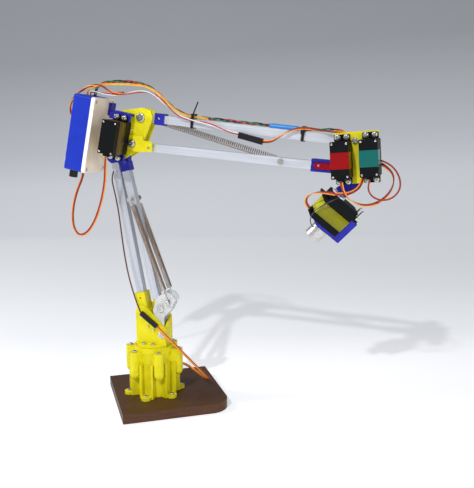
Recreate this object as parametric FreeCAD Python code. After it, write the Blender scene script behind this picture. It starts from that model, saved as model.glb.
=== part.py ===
import FreeCAD, Part
import math
import os

os.makedirs("parts", exist_ok=True)

V = FreeCAD.Vector

# An electric robot arm on a square base plate, in millimetres.
# The origin is the yaw axis at the underside of the base plate. The arm lies in the plane y = 0
# and reaches along +X; +Z is up. Two parallelograms of square tube carry the wrist.

# Pivots of the two parallelograms, as (x, z)
SHOULDER = (-9.0, 118.0)  # left lower tube on the tower
LINK_FOOT = (14.5, 126.5)  # right lower tube on the clear plates
ELBOW_DRIVE = (-34.7, 334.1)  # right lower tube on the elbow servo's shaft
ELBOW_PIVOT = (SHOULDER[0] + ELBOW_DRIVE[0] - LINK_FOOT[0], SHOULDER[1] + ELBOW_DRIVE[1] - LINK_FOOT[1])
FORE_TOP = (-7.2, 368.1)  # top forearm tube on the elbow plates
FORE_LOW = (-18.8, 336.5)  # bottom forearm tube's levers on the elbow plates
WRIST_DRIVE = (245.3, 310.4)  # bottom forearm tube on the red-banded servo's shaft
WRIST_PIVOT = (FORE_TOP[0] + WRIST_DRIVE[0] - FORE_LOW[0], FORE_TOP[1] + WRIST_DRIVE[1] - FORE_LOW[1])

# Square aluminium tube and its fits
TUBE = 10.0
TUBE_WALL = 1.0
FIT = 0.05  # radial clearance of a bolt in the part that turns on it
HOLE = 0.1  # radial clearance of a bolt in a part that is fixed to it
GAP = 0.1  # clearance round a tube in a socket

# Base
PLATE_TURN = 33.8
PLATE_LOW = (-51.6, -68.4)
PLATE_SIZE = (137.5, 138.3, 12.1)
PLATE_CORNER = 24.0
BODY_R = 25.0
BOSS_R = 6.3
BOSS_RING = 32.4
BOSS_ANGLE = 4.0
FOOT_RING = 33.6
FOOT_ANGLE = 34.0
HOUSING_TOP = 70.0
COVER_TOP = 73.0
LIP_TOP = 77.0
DISC_TOP = 77.4
FLANGE_TOP = 80.4

# Tower: two cheeks with the clear plates inside them
CHEEK = (8.5, 11.5)
CLEAR = (5.4, 8.2)
TOWER_LEFT = -19.5
TOWER_RIGHT = 21.5
SPRING_FOOT = (24.8, 137.2)
SPRING_HEAD = (-23.4, 266.5)
SPRING_Y = 9.5
SPRING_R = 3.8
SPRING_POST = 13.8  # half the length of a post that holds a pair of springs

# Standard hobby servo: width, depth from its bottom cover to its top, length
SERVO_WIDTH = 20.0
SERVO_DEPTH = 38.0
SERVO_LENGTH = 40.5
SHAFT_OFF = 10.35
SHAFT_R = 3.0
BOSS_HIGH = 1.1
LUG_LENGTH = 55.5
LUG_LOW = 27.5
LUG_HIGH = 30.0
LUG_HOLE = (5.0, 24.75)
SERVO_FRONT = -50.0  # y of the bottom covers of the elbow and wrist servos
CASE_TOP = SERVO_FRONT + SERVO_DEPTH
HORN_FRONT = CASE_TOP + BOSS_HIGH + 0.2
SHAFT_FRONT = CASE_TOP - 4.5

# Elbow frame: leans to +X going up, with its origin in the middle of the elbow servo
ELBOW_LEAN = 11.7
ELBOW_AT = V(-32.6, 0, 344.2)
PLATE_Y = (5.5, 8.5)
LEVER_Y = (8.8, 11.5)
LID = (-39.0, -34.0)
CASE = (-63.0, -39.0)
BOX_Y = (-30.0, 23.0)
BOX_Z = (-52.8, 41.5)
BOX_WALL = 2.0

# Wrist frame: origin at the red-banded servo's shaft
WRIST_LEAN = -4.25
WRIST_AT = V(WRIST_DRIVE[0], 0, WRIST_DRIVE[1])
RED_MIDDLE = (0.0, 10.35)
TEAL_MIDDLE = (31.04, 11.05)
WRIST_Y = (-20.0, -16.0)

# Tool servo: its shaft points up and out, and the servo is rolled about it
TOOL_RISE = 46.0
TOOL_ROLL = 27.0
TOOL_TOP = V(239.3, -15.8, 280.3)
MAGNET_R = 10.0
MAGNET_LENGTH = 15.0
MAGNET_Z = 4.0  # offset of the magnet along the tool servo

# Wire diameters
BUNDLE = 4.2
LEAD = 2.6
FINE_LEAD = 1.8


def box(x, y, z):
    return Part.makeBox(x[1] - x[0], y[1] - y[0], z[1] - z[0], V(x[0], y[0], z[0]))


def disc_y(place, r, y):
    return Part.makeCylinder(r, y[1] - y[0], V(place[0], y[0], place[1]), V(0, 1, 0))


def disc_z(x, y, r, z):
    return Part.makeCylinder(r, z[1] - z[0], V(x, y, z[0]), V(0, 0, 1))


def disc_x(y, z, r, x):
    return Part.makeCylinder(r, x[1] - x[0], V(x[0], y, z), V(1, 0, 0))


def join(*shapes):
    whole = shapes[0]
    for shape in shapes[1:]:
        whole = whole.fuse(shape)
    return whole.removeSplitter()


def cut(shape, *tools):
    for tool in tools:
        shape = shape.cut(tool)
    return shape


def plate(points, y, corner=0.0):
    """A flat plate in the XZ plane, from y[0] to y[1], with its corners rounded."""
    ring = [V(x, y[0], z) for x, z in points]
    flat = Part.Face(Part.makePolygon(ring + [ring[0]]))
    solid = flat.extrude(V(0, y[1] - y[0], 0))
    if corner:
        across = [e for e in solid.Edges if abs(e.Vertexes[0].Y - e.Vertexes[-1].Y) > 0.5 * (y[1] - y[0])]
        solid = solid.makeFillet(corner, across)
    return solid


def rounded(x, y, z, axis, corner):
    """A box with the four edges along one axis rounded."""
    solid = box(x, y, z)
    chosen = []
    for edge in solid.Edges:
        way = edge.Vertexes[1].Point - edge.Vertexes[0].Point
        if abs(way.normalize().dot(axis)) > 0.99:
            chosen.append(edge)
    return solid.makeFillet(corner, chosen)


def lean(shape, angle, at):
    """Turn a shape about the Y axis, to +X going up, and move it to its place."""
    moved = shape.copy()
    moved.rotate(V(0, 0, 0), V(0, 1, 0), angle)
    moved.translate(at)
    return moved


def leant(place, angle, at):
    """The (x, z) of a point given in a leaning frame."""
    a = math.radians(angle)
    x, z = place
    return (at.x + x * math.cos(a) + z * math.sin(a), at.z - x * math.sin(a) + z * math.cos(a))


def around(radius, angle):
    a = math.radians(angle)
    return radius * math.cos(a), radius * math.sin(a)


def drill(shape, place, r, y=(-60.0, 60.0)):
    return shape.cut(disc_y(place, r, y))


def bar(start, end, half_x, half_y):
    """A solid bar between two (x, z) points."""
    length = math.hypot(end[0] - start[0], end[1] - start[1])
    angle = math.degrees(math.atan2(end[0] - start[0], end[1] - start[1]))
    return lean(box((-half_x, half_x), (-half_y, half_y), (0, length)), angle, V(start[0], 0, start[1]))


def square_tube(start, end):
    outside = bar(start, end, TUBE / 2, TUBE / 2)
    far = (2 * end[0] - start[0], 2 * end[1] - start[1])
    near = (2 * start[0] - end[0], 2 * start[1] - end[1])
    inner = TUBE / 2 - TUBE_WALL
    return outside.cut(bar(near, far, inner, inner))


def bolt(place, r, y, head_r, head_h):
    """A pan-head bolt along Y, its head in front of y[0]."""
    head = disc_y(place, head_r, (y[0] - head_h, y[0]))
    flat = [e for e in head.Edges if e.BoundBox.YLength < 1e-6]
    rim = [e for e in flat if abs(e.BoundBox.YMin - (y[0] - head_h)) < 1e-6]
    head = head.makeFillet(head_h * 0.45, rim)
    slot = disc_y(place, head_r * 0.3, (y[0] - head_h - 1, y[0] - head_h * 0.55))
    return cut(join(head, disc_y(place, r, y)), slot)


def nut(place, r, y):
    """A hexagon nut between y[0] and y[1]."""
    points = []
    for k in range(6):
        dx, dz = around(r * 1.95, 60 * k + 30)
        points.append((place[0] + dx, place[1] + dz))
    return drill(plate(points, y), place, r + HOLE)


def route(points):
    """The wire of a cord: straight runs joined by tangent arcs."""
    points = [V(*p) for p in points]
    edges = []
    radii = []
    start = points[0]
    for before, here, after in zip(points, points[1:], points[2:]):
        back = (before - here)
        on = (after - here)
        shorter = min(back.Length, on.Length)
        back.normalize()
        on.normalize()
        turn = math.pi - back.getAngle(on)
        reach = 0.45 * shorter
        radius = reach / math.tan(turn / 2)
        radii.append(round(radius, 1))
        first = here + back * reach
        last = here + on * reach
        inward = back + on
        inward.normalize()
        middle = here + inward * (radius / math.cos(turn / 2) - radius)
        edges.append(Part.LineSegment(start, first).toShape())
        edges.append(Part.Arc(first, middle, last).toShape())
        start = last
    edges.append(Part.LineSegment(start, points[-1]).toShape())
    return Part.Wire(edges), radii


def cord(name, points, diameter):
    path, radii = route(points)
    way = V(*points[1]) - V(*points[0])
    ring = Part.Wire([Part.makeCircle(diameter / 2, V(*points[0]), way)])
    tube = path.makePipeShell([ring], True, True)
    section = math.pi * diameter**2 / 4
    print(name, "length", round(path.Length, 1), "radii", radii)
    print(name, "volume ratio", round(tube.Volume / (section * path.Length), 4))
    return tube


def save(name, *solids):
    shape = solids[0] if len(solids) == 1 else Part.makeCompound(list(solids))
    bad = [i for i, s in enumerate(shape.Solids) if not s.isValid()]
    if bad or not shape.Solids:
        print("BAD", name, bad)
    shape.exportStep("parts/" + name + ".step")


# Base


def base_plate():
    low_x, low_y = PLATE_LOW
    slab = box((low_x, low_x + PLATE_SIZE[0]), (low_y, low_y + PLATE_SIZE[1]), (0, PLATE_SIZE[2]))
    upright = [e for e in slab.Edges if e.BoundBox.ZLength > 1]
    big = [e for e in upright if e.BoundBox.XMin > 0 and e.BoundBox.YMin < 0]
    slab = slab.makeFillet(PLATE_CORNER, big)
    small = [e for e in slab.Edges if e.BoundBox.ZLength > 1 and (e.BoundBox.XMax < 0 or e.BoundBox.YMin > 0)]
    slab = slab.makeFillet(1.5, small)
    slab.rotate(V(0, 0, 0), V(0, 0, 1), PLATE_TURN)
    for k in range(6):
        x, y = around(FOOT_RING, FOOT_ANGLE + 60 * k)
        slab = slab.cut(disc_z(x, y, 1.5 + HOLE, (5.0, PLATE_SIZE[2] + 1)))
    return slab


def base_housing():
    floor = PLATE_SIZE[2]
    body = disc_z(0, 0, BODY_R, (floor, HOUSING_TOP))
    for k in range(6):
        turn = BOSS_ANGLE + 60 * k
        x, y = around(BOSS_RING, turn)
        boss = disc_z(x, y, BOSS_R, (44.0, HOUSING_TOP))
        tip = Part.makeSphere(BOSS_R, V(x, y, 44.0))
        web = box((15.0, BOSS_RING), (-BOSS_R, BOSS_R), (44.0, HOUSING_TOP))
        web.rotate(V(0, 0, 0), V(0, 0, 1), turn)
        body = body.fuse(boss).fuse(tip).fuse(web)
        turn = FOOT_ANGLE + 60 * k
        x, y = around(FOOT_RING, turn)
        foot = disc_z(x, y, BOSS_R, (floor, floor + 4.0))
        pad = box((15.0, FOOT_RING), (-BOSS_R, BOSS_R), (floor, floor + 4.0))
        ribs = []
        for side in (-1, 1):
            rib = box((15.0, 32.0), (side * 7.6 - 1.3, side * 7.6 + 1.3), (floor, 57.0))
            rib.rotate(V(0, 0, 0), V(0, 0, 1), turn)
            ribs.append(rib)
        pad.rotate(V(0, 0, 0), V(0, 0, 1), turn)
        body = body.fuse(foot).fuse(pad).fuse(ribs[0]).fuse(ribs[1])
    body = body.removeSplitter()
    inside = BODY_R - 2.5
    body = body.cut(disc_z(0, 0, inside, (39.0, HOUSING_TOP + 1)))
    body = body.cut(disc_z(0, 0, inside, (floor - 1, 36.0)))
    for k in range(6):
        x, y = around(BOSS_RING, BOSS_ANGLE + 60 * k)
        body = body.cut(disc_z(x, y, 1.5 + HOLE, (58.0, HOUSING_TOP + 1)))
        x, y = around(FOOT_RING, FOOT_ANGLE + 60 * k)
        body = body.cut(disc_z(x, y, 1.5 + HOLE, (floor - 1, floor + 5)))
    entry = Part.makeCylinder(LEAD / 2 + 0.4, 12.0, V(18.0, 0, 48.0), V(1, 0, 0))
    entry.rotate(V(0, 0, 0), V(0, 0, 1), FOOT_ANGLE)
    return body.cut(entry)


def base_cover():
    cover = disc_z(0, 0, BODY_R + 1.5, (HOUSING_TOP, COVER_TOP))
    for k in range(6):
        turn = BOSS_ANGLE + 60 * k
        x, y = around(BOSS_RING, turn)
        ear = box((15.0, BOSS_RING), (-BOSS_R, BOSS_R), (HOUSING_TOP, COVER_TOP))
        ear.rotate(V(0, 0, 0), V(0, 0, 1), turn)
        cover = cover.fuse(disc_z(x, y, BOSS_R, (HOUSING_TOP, COVER_TOP))).fuse(ear)
    lip = disc_z(0, 0, 26.0, (COVER_TOP, LIP_TOP)).cut(disc_z(0, 0, 22.9, (COVER_TOP, LIP_TOP)))
    cover = join(cover, lip).cut(disc_z(0, 0, 8.0, (HOUSING_TOP - 1, COVER_TOP + 1)))
    for k in range(6):
        x, y = around(BOSS_RING, BOSS_ANGLE + 60 * k)
        cover = cover.cut(disc_z(x, y, 1.5 + HOLE, (HOUSING_TOP - 1, COVER_TOP + 1)))
    return cover


def upright_screw(x, y, top, length):
    head = disc_z(x, y, 2.9, (top, top + 2.0))
    rim = [e for e in head.Edges if e.BoundBox.ZMin > top + 1.9]
    head = head.makeFillet(0.9, rim)
    socket = disc_z(x, y, 1.2, (top + 1.0, top + 3.0))
    return join(head, disc_z(x, y, 1.5, (top - length, top))).cut(socket)


def base_screws():
    screws = []
    for k in range(6):
        x, y = around(BOSS_RING, BOSS_ANGLE + 60 * k)
        screws.append(upright_screw(x, y, COVER_TOP, 12.0))
        x, y = around(FOOT_RING, FOOT_ANGLE + 60 * k)
        screws.append(upright_screw(x, y, PLATE_SIZE[2] + 4.0, 10.0))
    return screws


def yaw_servo():
    """A compact servo on the housing's shelf; its shaft is on the yaw axis."""
    case = rounded((-20.6, 8.0), (-6.5, 6.5), (39.0, 65.0), V(0, 0, 1), 1.0)
    case = join(case, disc_z(0, 0, 5.0, (65.0, 66.5)))
    return case.cut(disc_z(0, 0, SHAFT_R + FIT, (60.0, 67.0)))


# Turntable and tower


def turntable():
    disc = disc_z(0, 0, 22.4, (COVER_TOP + 0.4, DISC_TOP))
    hub = disc_z(0, 0, 6.0, (68.0, COVER_TOP + 0.4))
    shaft = disc_z(0, 0, SHAFT_R, (61.0, 68.0))
    disc = join(disc, hub, shaft)
    for x, y in flange_places():
        disc = disc.cut(disc_z(x, y, 1.5 + HOLE, (COVER_TOP, DISC_TOP + 1)))
    return disc


def flange_places():
    return [(-7.0, -16.4), (6.0, -16.4), (-7.0, 16.4), (6.0, 16.4)]


WASHER_SCREW = (15.8, 93.0)
TOWER_PINS = [(-2.2, 103.0), (5.5, 99.0)]


def tower():
    left, right = TOWER_LEFT, TOWER_RIGHT
    top = [(left, 124), (-14, 130), (-6, 129), (15, 107.5), (right, 101)]
    front = [(left, DISC_TOP), *top, (right, DISC_TOP)]
    back = [(left, DISC_TOP), (left, 124), (-14, 130), (-1, 130), (14, 121), (right, 114), (right, DISC_TOP)]
    body = plate(front, (-CHEEK[1], -CHEEK[0]))
    body = body.fuse(plate(back, CHEEK))
    right_wall = Part.Face(Part.makePolygon([
        V(right - 3, -CHEEK[0], DISC_TOP),
        V(right - 3, CHEEK[0], DISC_TOP),
        V(right - 3, CHEEK[0], 114),
        V(right - 3, -CHEEK[0], 101),
        V(right - 3, -CHEEK[0], DISC_TOP),
    ])).extrude(V(3, 0, 0))
    left_wall = box((left, left + 3), (-CHEEK[0], CHEEK[0]), (DISC_TOP, 104))
    flange = disc_z(0, 0, 22.0, (DISC_TOP, FLANGE_TOP))
    body = join(body, right_wall, left_wall, flange)
    body = drill(body, SHOULDER, 2.5 + HOLE)
    body = drill(body, WASHER_SCREW, 1.8 + HOLE, (-20, 0))
    for pin in TOWER_PINS:
        body = drill(body, pin, 1.2 + HOLE, (-20, 0))
    for x, y in flange_places():
        body = body.cut(disc_z(x, y, 1.5 + HOLE, (DISC_TOP - 1, FLANGE_TOP + 1)))
    return body


def clear_plates():
    outline = [
        (3, 124),
        (8, 140),
        (20, 149.5),
        (29, 147),
        (34, 140),
        (27, 125),
        (18, 115),
        (18, 88),
        (8, 88),
        (6, 112),
    ]
    pair = []
    for y in ((-CLEAR[1], -CLEAR[0]), CLEAR):
        piece = plate(outline, y, 1.5)
        for place, r in ((LINK_FOOT, 2.5), (SPRING_FOOT, 2.0), (WASHER_SCREW, 1.8)):
            piece = drill(piece, place, r + HOLE)
        pair.append(piece)
    return pair


def tower_screws():
    washer = disc_y(WASHER_SCREW, 4.6, (-CHEEK[1] - 1.0, -CHEEK[1])).cut(disc_y(WASHER_SCREW, 1.9, (-20, 0)))
    screws = [washer, bolt(WASHER_SCREW, 1.8, (-CHEEK[1] - 1.0, -CLEAR[0]), 3.0, 1.8)]
    for pin in TOWER_PINS:
        screws.append(disc_y(pin, 1.2, (-CHEEK[1] - 3.0, -CHEEK[0])))
    for x, y in flange_places():
        screws.append(upright_screw(x, y, FLANGE_TOP, 6.0))
    return screws


def tower_bolts():
    solids = [
        bolt(SHOULDER, 2.5, (-CHEEK[1], CHEEK[1] + 5.0), 4.4, 2.6),
        nut(SHOULDER, 2.5, (CHEEK[1], CHEEK[1] + 4.0)),
        bolt(LINK_FOOT, 2.5, (-CLEAR[1], CLEAR[1] + 3.2), 4.4, 2.6),
        nut(LINK_FOOT, 2.5, (CLEAR[1], CLEAR[1] + 3.0)),
        bolt(SPRING_FOOT, 2.0, (-SPRING_POST, SPRING_POST), 3.2, 1.6),
        disc_y(SPRING_FOOT, 3.2, (SPRING_POST, SPRING_POST + 1.4)),
    ]
    return [*solids[:4], join(solids[4], solids[5])]


def tower_connector():
    """The plug pair that lies across the tower's front cheek, over the shoulder bolt's head."""
    return lean(box((-2.7, 2.7), (-CHEEK[1] - 6.6, -CHEEK[1] - 2.7), (-13.5, 13.5)), 127.0, V(0.5, 0, 113.5))


# Lower arm

LEFT_LOW = (-11.7, 124.0)
LEFT_HIGH = (-46.55, 312.0)
RIGHT_LOW = (6.2, 138.0)
RIGHT_HIGH = (-34.6, 313.0)


def along(start, end, distance):
    length = math.hypot(end[0] - start[0], end[1] - start[1])
    return (
        start[0] + (end[0] - start[0]) * distance / length,
        start[1] + (end[1] - start[1]) * distance / length,
    )


def lower_left_tube():
    return square_tube(along(LEFT_LOW, LEFT_HIGH, 6.0), LEFT_HIGH)


def lower_left_clamp():
    socket = bar(LEFT_LOW, along(LEFT_LOW, LEFT_HIGH, 22.0), 7.0, 8.1)
    cheek = plate([(-17, 118), (-1, 118), (-5.5, 127), (-19, 124)], (-8.1, 8.1))
    ear = join(disc_y(SHOULDER, 8.0, (-8.1, 8.1)), cheek)
    clamp = join(socket, ear)
    inside = TUBE / 2 + GAP
    clamp = clamp.cut(bar(along(LEFT_LOW, LEFT_HIGH, 6.0), along(LEFT_LOW, LEFT_HIGH, 40.0), inside, inside))
    clamp = drill(clamp, along(LEFT_LOW, LEFT_HIGH, 15.0), 1.3)
    return drill(clamp, SHOULDER, 2.5 + FIT)


def lower_left_head():
    tongue = bar(along(LEFT_HIGH, LEFT_LOW, 12.0), LEFT_HIGH, 3.9, 3.9)
    arm_outline = [(-51.6, 311.2), (-41.7, 313.1), (-43.5, 321), (-56, 331), (-64, 327), (-60, 318)]
    arm = plate(arm_outline, (-5.1, 5.1), 1.0)
    head = join(tongue, arm, disc_y(ELBOW_PIVOT, 6.5, (-5.1, 5.1)))
    return drill(head, ELBOW_PIVOT, 2.5 + FIT)


def lower_right_tube():
    end = along(RIGHT_HIGH, RIGHT_LOW, 1.6)
    return drill(square_tube(RIGHT_LOW, end), SPRING_HEAD, 2.0 + HOLE)


def lower_right_foot():
    tongue = bar(RIGHT_LOW, along(RIGHT_LOW, RIGHT_HIGH, 12.0), 3.9, 3.9)
    arm = plate([(1.5, 136.7), (11.2, 138.9), (20, 129), (15, 120.5), (9, 123)], (-5.1, 5.1), 1.0)
    foot = join(tongue, arm, disc_y(LINK_FOOT, 6.5, (-5.1, 5.1)))
    return drill(foot, LINK_FOOT, 2.5 + FIT)


def lower_right_head():
    sleeve = bar(along(RIGHT_HIGH, RIGHT_LOW, 11.5), RIGHT_HIGH, 7.0, 6.6)
    shaved = along((-42.0, 311.3), (-38.4, 295.9), 22.0)
    sleeve = sleeve.cut(bar(shaved, (-42.4, 313.0), 2.6, 8.0))
    stem = plate([(-38.5, 311), (-28, 314.5), (-28.5, 332), (-38.5, 332)], (-5.1, 5.1))
    head = join(sleeve, stem, disc_y(ELBOW_DRIVE, 7.0, (-5.1, 5.1)))
    inside = TUBE / 2 + GAP
    low = along(RIGHT_HIGH, RIGHT_LOW, 20.0)
    high = along(RIGHT_HIGH, RIGHT_LOW, 1.5)
    return head.cut(bar(low, high, inside, inside))


def elbow_horn():
    """The servo horn and its output shaft, fixed to the right lower tube."""
    flat = disc_y(ELBOW_DRIVE, 8.5, (-8.2, -5.1))
    hub = disc_y(ELBOW_DRIVE, 4.0, (HORN_FRONT, -8.2))
    shaft = disc_y(ELBOW_DRIVE, SHAFT_R, (SHAFT_FRONT, HORN_FRONT))
    return join(flat, hub, shaft)


def lower_spring_post():
    rod = disc_y(SPRING_HEAD, 2.0, (-SPRING_POST, SPRING_POST))
    front = disc_y(SPRING_HEAD, 3.2, (-SPRING_POST - 1.4, -SPRING_POST))
    back = disc_y(SPRING_HEAD, 3.2, (SPRING_POST, SPRING_POST + 1.4))
    return join(rod, front, back)


def lower_springs():
    """The pair of tension springs, as plain cylinders between their two posts."""
    low = along(SPRING_FOOT, SPRING_HEAD, 14.0)
    high = along(SPRING_HEAD, SPRING_FOOT, 6.5)
    way = V(high[0] - low[0], 0, high[1] - low[1])
    pair = []
    for y in (-SPRING_Y, SPRING_Y):
        pair.append(Part.makeCylinder(SPRING_R, way.Length, V(low[0], y, low[1]), way))
    return pair


# Servos


def servo():
    """A standard servo in its own frame: bottom cover at y = 0, shaft end down."""
    half = SERVO_LENGTH / 2
    case = rounded(
        (-SERVO_WIDTH / 2, SERVO_WIDTH / 2), (0, SERVO_DEPTH), (-half, half), V(0, 1, 0), 1.2
    )
    lugs = rounded((-9.0, 9.0), (LUG_LOW, LUG_HIGH), (-LUG_LENGTH / 2, LUG_LENGTH / 2), V(0, 1, 0), 1.5)
    boss = disc_y((0, -SHAFT_OFF), 6.0, (SERVO_DEPTH, SERVO_DEPTH + BOSS_HIGH))
    relief = box((-3.6, 3.6), (2.5, 7.0), (-half - 2.6, -half))
    case = join(case, lugs, boss, relief)
    for y in (7.0, 24.0):
        outer = box((-11, 11), (y, y + 0.5), (-half - 1, half + 1))
        inner = box((-9.7, 9.7), (y, y + 0.5), (-half + 0.3, half - 0.3))
        case = case.cut(outer.cut(inner))
    case = case.cut(disc_y((0, -SHAFT_OFF), SHAFT_R + FIT, (SERVO_DEPTH - 5.5, SERVO_DEPTH + 2)))
    for x in (-LUG_HOLE[0], LUG_HOLE[0]):
        for z in (-LUG_HOLE[1], LUG_HOLE[1]):
            case = case.cut(disc_y((x, z), 1.6 + HOLE, (LUG_LOW - 1, LUG_HIGH + 1)))
    return case


def lug_screw(x, z):
    """A pan-head screw on a washer, through a servo's lug and into the bracket behind it."""
    washer = disc_y((x, z), 3.3, (LUG_LOW - 1.2, LUG_LOW)).cut(disc_y((x, z), 1.75, (0, LUG_LOW)))
    return [washer, bolt((x, z), 1.6, (LUG_LOW - 1.2, LUG_HIGH + 3.0), 2.9, 2.6)]


def lug_screws():
    solids = []
    for x in (-LUG_HOLE[0], LUG_HOLE[0]):
        for z in (-LUG_HOLE[1], LUG_HOLE[1]):
            solids += lug_screw(x, z)
    return solids


# Elbow


def on_elbow(shape):
    return lean(shape, ELBOW_LEAN, ELBOW_AT)


SMALL_BOLT = (-22.4, 353.5)

ELBOW_OUTLINE = [
    (-33, 377.2),
    (-5, 380),
    (6.3, 376),
    (8, 367),
    (-3.5, 341.4),
    (-12, 328.5),
    (-38, 313.6),
    (-50, 318.2),
    (-60.5, 319.2),
    (-64.4, 324),
    (-63.4, 331.5),
    (-52, 336),
    (-40, 350),
]


def elbow_plate(y):
    piece = plate(ELBOW_OUTLINE, y, 2.2)
    for place, r in ((FORE_TOP, 3.0), (FORE_LOW, 2.5), (ELBOW_PIVOT, 2.5), (SMALL_BOLT, 1.6)):
        piece = drill(piece, place, r + HOLE)
    return piece


def elbow_plate_front():
    return drill(elbow_plate((-PLATE_Y[1], -PLATE_Y[0])), ELBOW_DRIVE, 9.2)


def elbow_plate_back():
    return elbow_plate(PLATE_Y)


def elbow_servo():
    shape = servo()
    shape.translate(V(0, SERVO_FRONT, 0))
    return on_elbow(shape)


def elbow_lug_screws():
    solids = []
    for solid in lug_screws():
        solid.translate(V(0, SERVO_FRONT, 0))
        solids.append(on_elbow(solid))
    return solids


def servo_bracket():
    """The frame behind the elbow servo's lugs, with the arm that carries the control box."""
    back = SERVO_FRONT + LUG_HIGH
    front_plate = -PLATE_Y[1] - 0.02
    frame = box((-12, 10.8), (back, back + 3.5), (-31, 31))
    frame = frame.cut(box((-10.3, 12), (back - 1, back + 5), (-20.6, 20.6)))
    top = box((-12, 10.8), (back, front_plate), (27.8, 31))
    bottom = box((-12, 10.8), (back, front_plate), (-31, -27.8))
    link = box((-16.5, -10.4), (back, 18.0), (20.8, 27.2))
    arm = box((LID[1] + 0.02, -10.4), (8.0, 18.0), (20.8, 27.2))
    foot = box((LID[1] + 0.02, LID[1] + 4), (8.0, 20.0), (20.8, 37))
    bracket = join(frame, top, bottom, link, arm, foot)
    for x in (-LUG_HOLE[0], LUG_HOLE[0]):
        for z in (-LUG_HOLE[1], LUG_HOLE[1]):
            bracket = bracket.cut(disc_y((x, z), 1.6 + HOLE, (back - 1, back + 4)))
    return on_elbow(bracket)


def elbow_bolts():
    """The bolts of the elbow plates; the top one runs on at the back to hold the forearm spring."""
    top = join(bolt(FORE_TOP, 3.0, (-PLATE_Y[1], 17.5), 5.6, 3.4), disc_y(FORE_TOP, 4.2, (17.5, 18.9)))
    low = bolt(FORE_LOW, 2.5, (-LEVER_Y[1] - 1.3, LEVER_Y[1] + 4.2), 3.9, 2.8)
    ring = drill(disc_y(FORE_LOW, 4.9, (-LEVER_Y[1] - 1.3, -LEVER_Y[1] - 0.3)), FORE_LOW, 2.5 + HOLE)
    return [
        top,
        nut(FORE_TOP, 3.0, (PLATE_Y[1], PLATE_Y[1] + 3.0)),
        low,
        ring,
        nut(FORE_LOW, 2.5, (LEVER_Y[1] + 0.3, LEVER_Y[1] + 4.0)),
        bolt(ELBOW_PIVOT, 2.5, (-PLATE_Y[1], PLATE_Y[1] + 4.2), 4.2, 2.2),
        nut(ELBOW_PIVOT, 2.5, (PLATE_Y[1], PLATE_Y[1] + 4.0)),
        bolt(SMALL_BOLT, 1.6, (-PLATE_Y[1], PLATE_Y[1] + 3.2), 2.9, 2.0),
        nut(SMALL_BOLT, 1.6, (PLATE_Y[1], PLATE_Y[1] + 3.0)),
    ]


# Control box

LID_SCREWS = [(-25, -47.8), (18, -47.8), (-25, 36.5), (18, 36.5)]
JACK = (-54.0, -20.0)
LEAD_HOLE = (-47.0, -8.0)
BUTTON = (-23.0, -40.9)
WIRE_HOLE = (-52.0, 2.0)


def box_case():
    case = rounded(CASE, BOX_Y, BOX_Z, V(1, 0, 0), 3.0)
    hollow = box(
        (CASE[0] + BOX_WALL, CASE[1] + 1),
        (BOX_Y[0] + BOX_WALL, BOX_Y[1] - BOX_WALL),
        (BOX_Z[0] + BOX_WALL, BOX_Z[1] - BOX_WALL),
    )
    case = case.cut(hollow)
    for y, z in LID_SCREWS:
        case = case.fuse(disc_x(y, z, 3.2, (CASE[0] + 1, CASE[1])))
    case = case.removeSplitter()
    for y, z in LID_SCREWS:
        case = case.cut(disc_x(y, z, 1.2 + HOLE, (CASE[1] - 12, CASE[1] + 1)))
    case = case.cut(disc_x(BUTTON[0], BUTTON[1], 3.3, (CASE[0] - 1, CASE[0] + 3)))
    case = case.cut(disc_z(JACK[0], JACK[1], 4.0 + HOLE, (BOX_Z[0] - 1, BOX_Z[0] + 3)))
    case = case.cut(disc_z(LEAD_HOLE[0], LEAD_HOLE[1], 1.8, (BOX_Z[0] - 1, BOX_Z[0] + 3)))
    case = case.cut(disc_z(WIRE_HOLE[0], WIRE_HOLE[1], 2.7, (BOX_Z[1] - 3, BOX_Z[1] + 1)))
    return on_elbow(case)


def box_lid():
    lid = rounded(LID, BOX_Y, BOX_Z, V(1, 0, 0), 3.0)
    for y in (-20.0, 13.0):
        for z in (-30.0, 22.0):
            lid = lid.fuse(disc_x(y, z, 2.5, (LID[0] - 5.0, LID[0])))
    lid = lid.removeSplitter()
    for y, z in LID_SCREWS:
        lid = lid.cut(disc_x(y, z, 1.2 + HOLE, (LID[0] - 1, LID[1] + 1)))
        lid = lid.cut(disc_x(y, z, 2.6, (LID[1] - 2.2, LID[1] + 1)))
    return on_elbow(lid)


def lid_screws():
    screws = []
    for y, z in LID_SCREWS:
        head = disc_x(y, z, 2.3, (LID[1] - 2.2, LID[1] - 0.6))
        screws.append(on_elbow(join(head, disc_x(y, z, 1.2, (LID[1] - 14, LID[1] - 2.2)))))
    return screws


def circuit_board():
    return on_elbow(box((LID[0] - 6.6, LID[0] - 5.0), (-25, 18), (-42, 30)))


def dc_jack():
    low = BOX_Z[0]
    barrel = disc_z(JACK[0], JACK[1], 5.2, (low - 9.0, low))
    barrel = join(barrel, disc_z(JACK[0], JACK[1], 4.0, (low, low + 2.4)))
    barrel = barrel.cut(disc_z(JACK[0], JACK[1], 3.0, (low - 10.0, low + 2.0)))
    pin = disc_z(JACK[0], JACK[1], 1.0, (low - 7.0, low + 2.0))
    return on_elbow(join(barrel, pin))


def box_button():
    stem = disc_x(BUTTON[0], BUTTON[1], 2.9, (CASE[0] - 3.2, CASE[0] + 2.3))
    flange = disc_x(BUTTON[0], BUTTON[1], 3.9, (CASE[0] + 2.3, CASE[0] + 3.4))
    return on_elbow(join(stem, flange))


# Forearm

TOP_START = (-13.0, 369.1)
TOP_END = (262.9, 338.95)
BOTTOM_START = (-3.0, 331.9)
BOTTOM_END = (214.0, 312.45)
FORE_SPRING = (168.8, 316.5)
LEVER_PIN = (3.0, 331.35)
TIES = (72.0, 209.0)


def forearm_top_tube():
    tube = drill(square_tube(TOP_START, TOP_END), FORE_TOP, 3.0 + FIT)
    return drill(tube, WRIST_PIVOT, 1.5 + FIT)


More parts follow.
